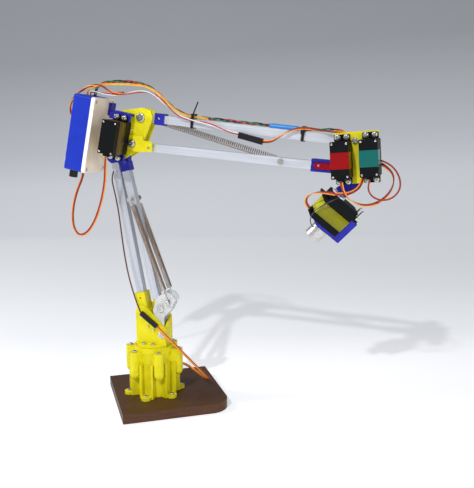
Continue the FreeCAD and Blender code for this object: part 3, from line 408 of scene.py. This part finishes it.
def lid_material(name):
    """The lid: cream on its face, white round its edge."""
    paint = Paint(name)
    cream = paint.between(paint.noise(70.0, 4.0), (0.93, 0.75, 0.56), (1.0, 0.86, 0.68))
    lean = math.radians(ELBOW_LEAN)
    normal = paint.nodes.new("ShaderNodeTexCoord").outputs["Normal"]
    facing = paint.nodes.new("ShaderNodeVectorMath")
    facing.operation = "DOT_PRODUCT"
    facing.inputs[1].default_value = (math.cos(lean), 0.0, -math.sin(lean))
    mix = paint.nodes.new("ShaderNodeMix")
    mix.data_type = "RGBA"
    step = paint.nodes.new("ShaderNodeMath")
    step.operation = "GREATER_THAN"
    step.inputs[1].default_value = 0.85
    paint.links.new(normal, facing.inputs[0])
    paint.links.new(facing.outputs["Value"], step.inputs[0])
    paint.links.new(step.outputs[0], mix.inputs["Factor"])
    mix.inputs["A"].default_value = (0.86, 0.85, 0.82, 1.0)
    paint.links.new(cream, mix.inputs["B"])
    paint.colour(mix.outputs["Result"])
    paint.rough(paint.noise(240.0), 0.45, 0.60)
    paint.bump(paint.noise(1100.0, 3.0), 0.00004, 0.5)
    return paint.material


def insulation(name, colour):
    """The soft plastic skin of a wire."""
    paint = Paint(name)
    paint.colour(paint.between(paint.noise(220.0, 3.0), scaled(colour, 0.78), colour))
    paint.rough(paint.noise(800.0), 0.30, 0.44)
    paint.bump(paint.noise(1400.0, 2.0), 0.00003, 0.5)
    paint.set(Sheen_Weight=0.05)
    return paint.material


YELLOW = (0.80, 0.715, 0.008)
VIOLET = (0.020, 0.022, 0.37)
BLUE = (0.008, 0.034, 0.47)
BLUE_LAYERS = (0.0, math.radians(90.0 - ELBOW_LEAN), 0.0)
VIOLET_LAYERS = (math.radians(90.0), 0.0, 0.0)
MATERIALS = {
    "yellow": printed("yellow_print", YELLOW),
    "violet": printed("violet_print", VIOLET, 0.7, turn=VIOLET_LAYERS),
    "blue": printed("blue_print", BLUE, 0.86, turn=BLUE_LAYERS),
    "lid": lid_material("cream_lid"),
    "black": moulded("servo_black", (0.0045, 0.0052, 0.0058), 0.40, shine=0.10),
    "satin_black": moulded("satin_black", (0.0060, 0.0062, 0.0066), 0.36, shine=0.28),
    # The lower tubes: the same aluminium as the forearm tubes, darkened to 0.84 as a painted shade.
    "lower_tube_shaded": extruded("lower_tube_shaded", (0.0, math.radians(-10.5), 0.0), 0.84),
    "fore_tube": extruded("forearm_tube", (0.0, math.radians(95.6), 0.0)),
    "steel": steel("zinc_steel", (0.66, 0.65, 0.62)),
    "spring": steel("spring_wire", (0.43, 0.33, 0.26), 0.28, 0.42),
    "magnet": steel("turned_steel", (0.66, 0.65, 0.63), 0.34, 0.48),
    "board": board("brown_board"),
    "clear": acrylic("clear_acrylic"),
    "horn_red": steel("red_anodised", (0.52, 0.015, 0.03), 0.22, 0.34),
    "nylon": moulded("white_nylon", (0.80, 0.80, 0.78), 0.38),
    "green_board": moulded("solder_mask", (0.02, 0.16, 0.06), 0.30),
    "shrink": moulded("blue_shrink", (0.030, 0.24, 0.66), 0.30, 500.0),
    "light_blue": moulded("light_blue", (0.05, 0.36, 0.80), 0.30),
    "band_red": film("label_red", (0.27, 0.001, 0.003)),
    "band_teal": film("label_teal", (0.005, 0.118, 0.105)),
    "band_olive": film("label_olive", (0.225, 0.215, 0.0006)),
    "band_gold": film("label_gold", (0.085, 0.052, 0.012)),
    # A lighter copy of the olive label: a painted highlight on the lit end of the tool servo's label.
    "band_olive_highlight": film("label_olive_highlight", (0.62, 0.60, 0.015)),
    "brown": insulation("wire_brown", (0.20, 0.020, 0.012)),
    "red": insulation("wire_red", (0.48, 0.020, 0.012)),
    "orange": insulation("wire_orange", (0.88, 0.36, 0.03)),
    "amber": insulation("wire_yellow", (0.88, 0.60, 0.06)),
    "green": insulation("wire_green", (0.035, 0.16, 0.045)),
    "white": insulation("wire_white", (0.80, 0.78, 0.75)),
    "dark": insulation("wire_black", (0.020, 0.014, 0.013)),
    "navy": insulation("wire_navy", (0.020, 0.024, 0.080)),
}

NODE_LOOKS = {
    "yellow": [
        "base_housing", "base_cover", "turntable", "tower", "lower_left_clamp", "lower_right_foot",
        "elbow_plate_front", "elbow_plate_back", "levers", "wrist_plate",
    ],
    "violet": [
        "lower_left_head", "lower_right_head", "servo_bracket", "forearm_top_sleeve", "wrist_link",
        "pitch_bracket", "angle_bracket",
    ],
    "blue": ["box_case"],
    "lid": ["box_lid"],
    "black": ["yaw_servo", "elbow_servo", "red_servo", "teal_servo", "tool_servo"],
    "satin_black": ["tower_connector", "wire_connector", "cable_ties", "dc_jack"],
    "lower_tube_shaded": ["lower_left_tube", "lower_right_tube"],
    "fore_tube": ["forearm_top_tube", "forearm_bottom_tube"],
    "steel": [
        "base_screws", "tower_screws", "tower_bolts", "lower_spring_post", "elbow_lug_screws", "elbow_bolts",
        "lid_screws", "forearm_bottom_bolts", "wrist_lug_screws", "wrist_pivot_bolt", "tool_screws",
    ],
    "magnet": ["magnet"],
    "board": ["base_plate"],
    "clear": ["clear_plates"],
    "horn_red": ["wrist_horn"],
    "nylon": ["elbow_horn", "box_button"],
    "green_board": ["circuit_board"],
    "shrink": ["heat_shrink"],
}


def paint_nodes():
    for look, names in NODE_LOOKS.items():
        for name in names:
            slots = NODES[name].data.materials
            if not len(slots):
                slots.append(MATERIALS[look])
            for k in range(len(slots)):
                slots[k] = MATERIALS[look]


# Wires


def smooth_line(points):
    """The points of the NURBS line through a route's control points."""
    curve = bpy.data.curves.new("route", "CURVE")
    curve.dimensions = "3D"
    curve.resolution_u = 6
    spline = curve.splines.new("NURBS")
    spline.points.add(len(points) - 1)
    for target, point in zip(spline.points, points):
        target.co = (*point, 1.0)
    spline.order_u = 3
    spline.use_endpoint_u = True
    bare = bpy.data.objects.new("route", curve)
    mesh = bpy.data.meshes.new_from_object(bare)
    line = [v.co.copy() for v in mesh.vertices]
    bpy.data.meshes.remove(mesh)
    bpy.data.curves.remove(curve)
    return line


def line_length(line):
    return sum((b - a).length for a, b in zip(line, line[1:]))


def frames_along(line, side=None):
    """At each point of a line: two vectors square to it. They turn as little as they can, from a first side.
    Without a side, the first of them stays in an upright plane along the arm, as a flat lead hangs."""
    found = []
    for k, point in enumerate(line):
        way = (line[min(k + 1, len(line) - 1)] - line[max(k - 1, 0)]).normalized()
        if side is None:
            across = way.cross(Vector((0.0, 1.0, 0.0))).normalized()
        else:
            side = (side - way * side.dot(way)).normalized()
            across = side
        found.append((point, across, way.cross(across)))
    return found


def add_tube(mesh, centres, radius, sides, look):
    """A round tube through centres, each given as (point, side vector, other vector)."""
    rings = []
    for point, across, other in centres:
        ring = []
        for k in range(sides):
            a = 2 * math.pi * k / sides
            ring.append(mesh.verts.new(point + (across * math.cos(a) + other * math.sin(a)) * radius))
        rings.append(ring)
    for near, far in zip(rings, rings[1:]):
        for k in range(sides):
            face = mesh.faces.new((near[k], near[(k + 1) % sides], far[(k + 1) % sides], far[k]))
            face.smooth = True
            face.material_index = look
    for ring, flip in ((rings[0], True), (rings[-1], False)):
        cap = mesh.faces.new(reversed(ring) if flip else ring)
        cap.material_index = look


def wire_group(name, route, colours, radius, spacing, turns=0.0, flat=True):
    """Wires that run together along one route: side by side if flat, and round each other if not."""
    line = smooth_line(route)
    frames = frames_along(line) if flat else frames_along(line, Vector((1.0, 0.0, 0.0)))
    total = line_length(line)
    mesh = bmesh.new()
    count = len(colours)
    for k in range(count):
        centres = []
        gone = 0.0
        before = line[0]
        for point, across, other in frames:
            gone += (point - before).length
            before = point
            turn = 2 * math.pi * turns * gone / total
            if flat:
                step = (k - (count - 1) / 2) * spacing
            else:
                turn += 2 * math.pi * k / count
                step = spacing
            way = across * math.cos(turn) + other * math.sin(turn)
            centres.append((point + way * step, across, other))
        add_tube(mesh, centres, radius, 8, k)
    piece = new_object(name, mesh)
    for colour in colours:
        piece.data.materials.append(MATERIALS[colour])
    return piece, line


def lead(name, route, length, diameter, lay="loose", colours=("brown", "red", "orange"), **looks):
    """A servo lead or a group of wires. It goes back into the object at its far end."""
    settings = {"radius": 0.00064, "spacing": 0.00118, "turns": 0.0, "flat": True}
    settings.update(looks)
    piece, line = wire_group(name, route, colours, **settings)
    return piece


# Routes of the leads, in metres. Each starts at its outlet.

ELBOW_LEAD = [
    (-0.0372, -0.0455, 0.3209),
    (-0.0395, -0.044, 0.308),
    (-0.042, -0.041, 0.292),
    (-0.0475, -0.038, 0.273),
    (-0.056, -0.034, 0.253),
    (-0.066, -0.030, 0.236),
    (-0.079, -0.026, 0.2225),
    (-0.092, -0.022, 0.219),
    (-0.101, -0.019, 0.228),
    (-0.104, -0.016, 0.243),
    (-0.103, -0.013, 0.260),
    (-0.098, -0.0105, 0.278),
    (-0.092, -0.0085, 0.291),
    (-0.0894, -0.008, 0.3022),
]

TOWER_LEAD = [
    (-0.046, -0.0095, 0.302),
    (-0.049, -0.010, 0.294),
    (-0.0475, -0.010, 0.284),
    (-0.0442, -0.010, 0.270),
    (-0.0405, -0.0105, 0.251),
    (-0.0375, -0.0115, 0.229),
    (-0.0338, -0.012, 0.1995),
    (-0.0285, -0.0132, 0.172),
    (-0.0225, -0.0145, 0.152),
    (-0.0158, -0.0158, 0.134),
    (-0.0108, -0.0162, 0.122),
]

BASE_LEAD = [
    (0.0115, -0.0162, 0.1052),
    (0.021, -0.0162, 0.096),
    (0.032, -0.013, 0.0845),
    (0.043, -0.007, 0.0705),
    (0.0535, 0.0, 0.056),
    (0.0625, 0.0085, 0.042),
    (0.068, 0.0175, 0.031),
    (0.0675, 0.026, 0.0245),
    (0.060, 0.032, 0.0235),
    (0.051, 0.033, 0.0285),
    (0.043, 0.0295, 0.036),
    (0.0355, 0.0245, 0.043),
    (0.0282, 0.019, 0.0474),
    (0.0195, 0.0131, 0.048),
]

ARM_BUNDLE = [
    (-0.0751, 0.002, 0.3954),
    (-0.0738, 0.002, 0.4025),
    (-0.069, 0.0018, 0.4088),
    (-0.0615, 0.0015, 0.412),
    (-0.050, 0.0012, 0.4128),
    (-0.035, 0.001, 0.413),
    (-0.018, 0.0005, 0.4115),
    (-0.001, 0.0, 0.407),
    (0.013, 0.0, 0.3975),
    (0.026, 0.0, 0.385),
    (0.039, 0.0, 0.375),
    (0.055, 0.0, 0.3694),
    (0.0753, 0.0, 0.3671),
    (0.0972, 0.0, 0.3649),
    (0.122, 0.0, 0.3619),
    (0.1469, 0.0, 0.35935),
    (0.1717, 0.0, 0.35655),
    (0.1966, 0.0, 0.35395),
]
BUNDLE_END = [
    ARM_BUNDLE[-1],
    (0.2175, -0.002, 0.3530),
    (0.2290, -0.0078, 0.3538),
    (0.2400, -0.0110, 0.3525),
    (0.2480, -0.0135, 0.3480),
]

RED_LEAD = [
    (0.2462, -0.04525, 0.2975),
    (0.2475, -0.045, 0.291),
    (0.2505, -0.0435, 0.284),
    (0.256, -0.041, 0.2775),
    (0.264, -0.037, 0.2725),
    (0.274, -0.035, 0.271),
    (0.285, -0.0335, 0.274),
    (0.2945, -0.0315, 0.2815),
    (0.3005, -0.0295, 0.2915),
    (0.3015, -0.028, 0.302),
    (0.2965, -0.027, 0.311),
    (0.2869, -0.0265, 0.3168),
]

TEAL_LEAD = [
    (0.2771, -0.04525, 0.3005),
    (0.2755, -0.045, 0.2945),
    (0.276, -0.0435, 0.2875),
    (0.2805, -0.042, 0.2815),
    (0.2885, -0.041, 0.2782),
    (0.2975, -0.040, 0.279),
    (0.305, -0.038, 0.284),
    (0.309, -0.036, 0.292),
    (0.308, -0.034, 0.302),
    (0.3025, -0.0325, 0.3115),
    (0.2945, -0.0318, 0.318),
    (0.2865, -0.0315, 0.3209),
]

# The tool servo's lead is one wire in two pieces, because it crosses two joints
TOOL_LEAD_LOW = [
    (0.2078, -0.0219, 0.2647),
    (0.2045, -0.025, 0.269),
    (0.204, -0.029, 0.2755),
    (0.208, -0.0325, 0.281),
    (0.216, -0.035, 0.284),
    (0.227, -0.0365, 0.2848),
    (0.239, -0.037, 0.2833),
]
TOOL_LEAD_HIGH = [
    (0.239, -0.037, 0.2833),
    (0.251, -0.037, 0.2832),
    (0.261, -0.039, 0.2875),
    (0.2675, -0.0405, 0.2945),
    (0.269, -0.041, 0.3026),
]

# Wires that are only here: over the top of the box, into the plug, and from the plug to the wrist
SUPPLY_WIRES = [
    (-0.0820, -0.004, 0.3968),
    (-0.0815, -0.0045, 0.4015),
    (-0.0765, -0.005, 0.4055),
    (-0.0665, -0.005, 0.4085),
    (-0.052, -0.004, 0.4095),
    (-0.0435, -0.004, 0.4092),
    (-0.0231, -0.004, 0.4086),
    (-0.0029, -0.004, 0.4065),
    (0.0102, -0.004, 0.4005),
    (0.0232, -0.004, 0.3895),
    (0.0323, -0.0035, 0.380),
    (0.042, -0.003, 0.3735),
    (0.0525, -0.0025, 0.3698),
    (0.0656, -0.0022, 0.3682),
    (0.0780, -0.001, 0.3664),
]
PLUG_WIRES = [
    (-0.0751, -0.010, 0.3960),
    (-0.076, -0.0105, 0.400),
    (-0.0695, -0.011, 0.4005),
    (-0.0559, -0.0105, 0.3975),
    (-0.0368, -0.010, 0.3953),
    (-0.0273, -0.010, 0.3965),
    (-0.0137, -0.010, 0.3989),
    (-0.0003, -0.010, 0.3997),
    (0.0128, -0.010, 0.396),
    (0.0257, -0.010, 0.3843),
    (0.0385, -0.010, 0.3735),
    (0.048, -0.010, 0.368),
    (0.0578, -0.010, 0.365),
    (0.0705, -0.010, 0.3628),
    (0.0832, -0.010, 0.3598),
    (0.0957, -0.010, 0.3555),
    (0.1082, -0.0095, 0.3505),
    (0.119, -0.0085, 0.3485),
]
WRIST_WIRES = [
    (0.1473, -0.0085, 0.3398),
    (0.1574, -0.011, 0.3392),
    (0.1669, -0.0115, 0.3446),
    (0.1751, -0.011, 0.3495),
    (0.1845, -0.0095, 0.3535),
    (0.1927, -0.0075, 0.3552),
    (0.2044, -0.006, 0.3548),
    (0.2159, -0.0075, 0.3525),
    (0.2273, -0.011, 0.3515),
    (0.2386, -0.015, 0.3512),
    (0.249, -0.019, 0.3497),
]
SIDE_LOOP = [
    (-0.0916, -0.012, 0.368),
    (-0.0985, -0.012, 0.3695),
    (-0.1035, -0.012, 0.3755),
    (-0.1023, -0.012, 0.3866),
    (-0.0955, -0.012, 0.3951),
    (-0.0853, -0.012, 0.4024),
    (-0.0738, -0.012, 0.4075),
    (-0.0627, -0.012, 0.4085),
    (-0.0545, -0.0112, 0.4055),
    (-0.0479, -0.0105, 0.4005),
    (-0.0395, -0.0095, 0.3975),
    (-0.0290, -0.0090, 0.3985),
]
MAGNET_WIRE = [
    (0.2105, -0.0150, 0.2420),
    (0.2086, -0.0230, 0.2478),
    (0.2107, -0.0313, 0.2560),
    (0.2154, -0.0326, 0.2633),
    (0.2245, -0.0328, 0.2699),
    (0.2350, -0.0326, 0.2753),
    (0.2453, -0.0270, 0.2808),
]


def make_wires():
    piece = lead("elbow_lead_wires", ELBOW_LEAD, 0.2139, 0.0026, "hanging")
    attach(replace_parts(piece, "elbow_lead"), "elbow")

    thin = {"radius": 0.0005, "spacing": 0.0009}
    piece = lead("tower_lead_wires", TOWER_LEAD, 0.1852, 0.0018, colours=("brown", "dark"), **thin)
    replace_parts(piece, "tower_lead")
    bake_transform(piece)

    piece = lead("base_lead_wires", BASE_LEAD, 0.1739, 0.0026, colours=("orange", "orange", "red"))
    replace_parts(piece, "base_lead")
    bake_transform(piece)

    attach(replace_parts(lead("red_lead_wires", RED_LEAD, 0.1103, 0.0026, turns=1.0), "red_lead"), "wrist")
    piece = lead("teal_lead_wires", TEAL_LEAD, 0.096, 0.0018, colours=("brown", "red"), **thin)
    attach(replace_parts(piece, "teal_lead"), "wrist")

    piece = lead("tool_lead_low_wires", TOOL_LEAD_LOW, 0.0530, 0.0026, turns=0.5)
    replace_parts(piece, "tool_lead")
    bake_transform(piece)
    piece = lead("tool_lead_high_wires", TOOL_LEAD_HIGH, 0.0403, 0.0026)
    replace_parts(piece, "tool_lead")
    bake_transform(piece)

    twisted = {"radius": 0.00074, "flat": False}
    bundle = {"colours": ("green", "red", "dark"), "spacing": 0.00125, **twisted}
    piece = lead("signal_wires", ARM_BUNDLE, 0.2943, 0.0042, turns=6.0, **bundle)
    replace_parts(piece, "arm_bundle")
    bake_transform(piece)
    thick = {"radius": 0.00078, "spacing": 0.0014}
    piece = lead("supply_wires", SUPPLY_WIRES, 0.1776, 0.0028, colours=("amber", "orange"), **thick)
    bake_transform(piece)
    pair = {"colours": ("red", "white"), "spacing": 0.0008, **twisted}
    piece = lead("plug_wires", PLUG_WIRES, 0.2110, 0.0022, turns=3.0, **pair)
    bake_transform(piece)
    piece = lead("signal_ends", BUNDLE_END, 0.0545, 0.0042, turns=1.0, **bundle)
    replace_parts(piece, "arm_bundle")
    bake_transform(piece)
    piece = lead("wrist_wires", WRIST_WIRES, 0.1080, 0.0026, colours=("brown", "red", "orange"), turns=1.0)
    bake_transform(piece)
    loop = {"colours": ("orange", "red", "brown"), "spacing": 0.0007, **twisted}
    piece = lead("side_wires", SIDE_LOOP, 0.1079, 0.0022, turns=3.0, **loop)
    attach(piece, "elbow")
    piece = lead("magnet_wire", MAGNET_WIRE, 0.0657, 0.0012, colours=("navy",), radius=0.0006, spacing=0.0)
    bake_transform(piece)


# Springs


def coil_points(start, end, radius, pitch, per_turn, side):
    """Points round the line from start to end."""
    way = end - start
    length = way.length
    way.normalize()
    side = (side - way * side.dot(way)).normalized()
    other = way.cross(side)
    turns = round(length / pitch)
    points = []
    for k in range(turns * per_turn + 1):
        a = 2 * math.pi * k / per_turn
        along = length * k / (turns * per_turn)
        points.append(start + way * along + (side * math.cos(a) + other * math.sin(a)) * radius)
    return points


def eye_points(centre, way, radius, start_angle, sweep):
    """An eye of wire round a post along Y, in the plane of the spring."""
    other = Vector((0, 1, 0)).cross(way)
    points = []
    steps = 14
    for k in range(steps + 1):
        a = start_angle + sweep * k / steps
        points.append(centre + (way * math.cos(a) + other * math.sin(a)) * radius)
    return points


def spring(name, foot, head, y, radius, wire, pitch, eye, tails):
    """A tension spring: a close coil with an eye round a post at each end."""
    foot = foot + Vector((0, y, 0))
    head = head + Vector((0, y, 0))
    way = (head - foot).normalized()
    low, high = foot + way * tails[0], head - way * tails[1]
    coil = coil_points(low, high, radius, pitch, 12, Vector((0, 1, 0)))
    line = list(reversed(eye_points(foot, way, eye, 0.35, 1.75 * math.pi)))
    line.append(low - way * 0.0022)
    line += coil
    line.append(high + way * 0.0022)
    line += eye_points(head, -way, eye, 0.35, 1.75 * math.pi)
    mesh = bmesh.new()
    add_tube(mesh, frames_along(line, Vector((0.3, 0.9, 0.2))), wire, 6, 0)
    piece = new_object(name, mesh)
    piece.data.materials.append(MATERIALS["spring"])
    return piece


LOWER_COIL = {"radius": 0.0033, "wire": 0.00042, "pitch": 0.00125, "eye": 0.0026, "tails": (0.0150, 0.0080)}
FORE_COIL = {"radius": 0.0037, "wire": 0.00046, "pitch": 0.0027, "eye": 0.0036, "tails": (0.009, 0.010)}


def make_springs():
    for k, y in enumerate((-SPRING_Y, SPRING_Y)):
        piece = spring(f"lower_spring_{k + 1}", SPRING_FOOT, SPRING_HEAD, y, **LOWER_COIL)
        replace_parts(piece, "lower_springs")
        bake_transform(piece)
    piece = spring("fore_spring", FORE_SPRING, FORE_TOP, FORE_SPRING_Y, **FORE_COIL)
    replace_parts(piece, "forearm_spring")
    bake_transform(piece)


# Servo labels and case screws


def ring_outline(half_x, half_z, corner, stand_off):
    """The rounded outline of a servo's case in x and z, a little outside it."""
    points = []
    corners = ((1, 1, 0), (-1, 1, 90), (-1, -1, 180), (1, -1, 270))
    for sx, sz, start in corners:
        cx, cz = sx * (half_x - corner), sz * (half_z - corner)
        for k in range(5):
            a = math.radians(start + 90 * k / 4)
            r = corner + stand_off
            points.append((cx + r * math.cos(a), cz + r * math.sin(a)))
    return points


STAND_OFF = 0.00018


def case_label(name, place, depths, look, body, highlight_look=None):
    """A label wrapped round the middle of a servo's case. Its low end may take a lighter copy of its colour,
    a painted highlight on the side that catches the light.
    """
    outline = ring_outline(SERVO_HALF_WIDTH, SERVO_HALF_LENGTH, CORNER, STAND_OFF)
    mesh = bmesh.new()
    rows = [[mesh.verts.new((x, y, z)) for x, z in outline] for y in depths]
    for k in range(len(outline)):
        n = (k + 1) % len(outline)
        face = mesh.faces.new((rows[0][k], rows[0][n], rows[1][n], rows[1][k]))
        face.smooth = True
        middle = (outline[k][1] + outline[n][1]) / 2
        # The faces at the low end take the lighter copy, a painted highlight.
        face.material_index = 1 if highlight_look and middle < -SERVO_HALF_LENGTH + CORNER / 2 else 0
    return finish_label(name, mesh, place, look, body, highlight_look)


def cover_label(name, place, heights, depth, look, body):
    """A label over the bottom cover and down both of its long sides."""
    x = SERVO_HALF_WIDTH + STAND_OFF
    y = -STAND_OFF
    profile = [(-x, depth), (-x, y + CORNER * 0.3), (-x + CORNER * 0.3, y)]
    profile += [(-px, py) for px, py in reversed(profile)]
    mesh = bmesh.new()
    rows = [[mesh.verts.new((px, py, z)) for px, py in profile] for z in heights]
    for k in range(len(profile) - 1):
        mesh.faces.new((rows[0][k], rows[0][k + 1], rows[1][k + 1], rows[1][k]))
    return finish_label(name, mesh, place, look, body)


def finish_label(name, mesh, place, look, body, highlight_look=None):
    """Give a label its thickness, its colours and the body that it rides on."""
    bmesh.ops.recalc_face_normals(mesh, faces=mesh.faces)
    piece = new_object(name, mesh)
    piece.data.transform(place)
    thick = piece.modifiers.new("thickness", "SOLIDIFY")
    thick.thickness = 0.00014
    thick.offset = 0.0
    piece.data.materials.append(MATERIALS[look])
    if highlight_look:
        piece.data.materials.append(MATERIALS[highlight_look])
    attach(piece, body)
    return piece


def lathe(mesh, profile, place, sides=16):
    """Turn a profile of (radius, height) about an axis; place takes the axis, along -y, into the frame."""
    rings = []
    for radius, height in profile:
        if radius == 0.0:
            rings.append([mesh.verts.new(place @ Vector((0.0, -height, 0.0)))])
            continue
        ring = []
        for k in range(sides):
            a = 2 * math.pi * k / sides
            ring.append(mesh.verts.new(place @ Vector((radius * math.cos(a), -height, radius * math.sin(a)))))
        rings.append(ring)
    for near, far in zip(rings, rings[1:]):
        for k in range(sides):
            n = (k + 1) % sides
            corners = [near[k % len(near)], near[n % len(near)], far[n % len(far)], far[k % len(far)]]
            corners = list(dict.fromkeys(corners))
            mesh.faces.new(corners).smooth = True


PAN_HEAD = [
    (0.0, -0.0001),
    (0.00035, -0.0001),
    (0.0005, 0.0007),
    (0.0010, 0.0006),
    (0.00125, 0.0003),
    (0.0013, -0.0002),
    (0.0, -0.0002),
]


def case_screws(name, place, body):
    """The four screws in a servo's bottom cover."""
    mesh = bmesh.new()
    for x in (-CASE_SCREW_X, CASE_SCREW_X):
        for z in (-CASE_SCREW_Z, CASE_SCREW_Z):
            lathe(mesh, PAN_HEAD, place @ Matrix.Translation((x, 0.0, z)))
    bmesh.ops.recalc_face_normals(mesh, faces=mesh.faces)
    piece = new_object(name, mesh)
    piece.data.materials.append(MATERIALS["steel"])
    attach(piece, body)


def make_servo_details():
    elbow = servo_frame(ELBOW_LEAN, ELBOW_AT, (0.0, 0.0))
    red = servo_frame(WRIST_LEAN, WRIST_AT, RED_MIDDLE)
    teal = servo_frame(WRIST_LEAN, WRIST_AT, TEAL_MIDDLE)
    tool = tool_frame()
    case_label("elbow_label", elbow, LABEL_DEPTHS, "band_gold", "elbow")
    cover_label("red_label", red, COVER_LABEL_HEIGHTS, COVER_LABEL_DEPTH, "band_red", "wrist")
    cover_label("teal_label", teal, COVER_LABEL_HEIGHTS, COVER_LABEL_DEPTH, "band_teal", "wrist")
    case_label("tool_label", tool, LABEL_DEPTHS, "band_olive", "tool", "band_olive_highlight")
    for name, place, body in (
        ("elbow_case_screws", elbow, "elbow"),
        ("red_case_screws", red, "wrist"),
        ("teal_case_screws", teal, "wrist"),
        ("tool_case_screws", tool, "tool"),
    ):
        case_screws(name, place, body)


def small_screw(name, at, body, scale=1.0):
    """A small screw head that faces the front."""
    mesh = bmesh.new()
    place = Matrix.Translation(at) @ Matrix.Scale(scale, 4)
    lathe(mesh, PAN_HEAD, place)
    bmesh.ops.recalc_face_normals(mesh, faces=mesh.faces)
    piece = new_object(name, mesh)
    piece.data.materials.append(MATERIALS["steel"])
    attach(piece, body)


HORN_DISC = [
    (0.0, -0.0008),
    (0.0086, -0.0008),
    (0.0090, -0.0004),
    (0.0090, 0.0014),
    (0.0086, 0.0018),
    (0.0, 0.0018),
]


def make_tool_horn():
    """The round white horn on the tool servo's shaft, let into the foot of the pitch bracket."""
    mesh = bmesh.new()
    turn = Vector((0.0, -1.0, 0.0)).rotation_difference(tool_shaft())
    lathe(mesh, HORN_DISC, Matrix.Translation(TOOL_TOP) @ turn.to_matrix().to_4x4(), 32)
    bmesh.ops.recalc_face_normals(mesh, faces=mesh.faces)
    piece = new_object("tool_horn", mesh)
    piece.data.materials.append(MATERIALS["nylon"])
    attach(piece, "pitch")


def make_small_screws():
    small_screw("horn_screw", (0.2146, -0.0087, 0.3129), "forearm_bottom", 1.1)
    small_screw("sleeve_screw", (0.0161, -0.0070, 0.3667), "forearm_top", 1.0)


def rounded_block(name, x, y, z, corner, place, look, slot, body):
    """A block with rounded edges, between two values along each axis."""
    mesh = bmesh.new()
    bmesh.ops.create_cube(mesh, size=1.0)
    for vertex in mesh.verts:
        for axis, (low, high) in enumerate((x, y, z)):
            vertex.co[axis] = low if vertex.co[axis] < 0 else high
    bmesh.ops.bevel(mesh, geom=mesh.edges, offset=corner, segments=3, profile=0.5, affect="EDGES")
    for face in mesh.faces:
        face.smooth = True
    piece = new_object(name, mesh)
    piece.data.transform(place)
    piece.data.materials.append(MATERIALS[look])
    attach(piece, body)
    return piece


def make_box_details():
    """The light blue slide switch on the box's far end."""
    place = leaning(ELBOW_LEAN, ELBOW_AT)
    finish = (place, "light_blue", "sleeve_blue", "elbow")
    frame_box = ((-0.0643, -0.0625), (-0.0275, -0.0195), (-0.0245, -0.0155))
    rounded_block("switch_frame", *frame_box, 0.0004, *finish)
    lever_box = ((-0.0652, -0.0635), (-0.0250, -0.0220), (-0.0205, -0.0165))
    rounded_block("switch_lever", *lever_box, 0.0003, *finish)


def main():
    make_camera()
    make_wires()
    make_lights()
    make_backdrop()
    paint_nodes()
    make_springs()
    make_servo_details()
    make_small_screws()
    make_tool_horn()
    make_box_details()


main()
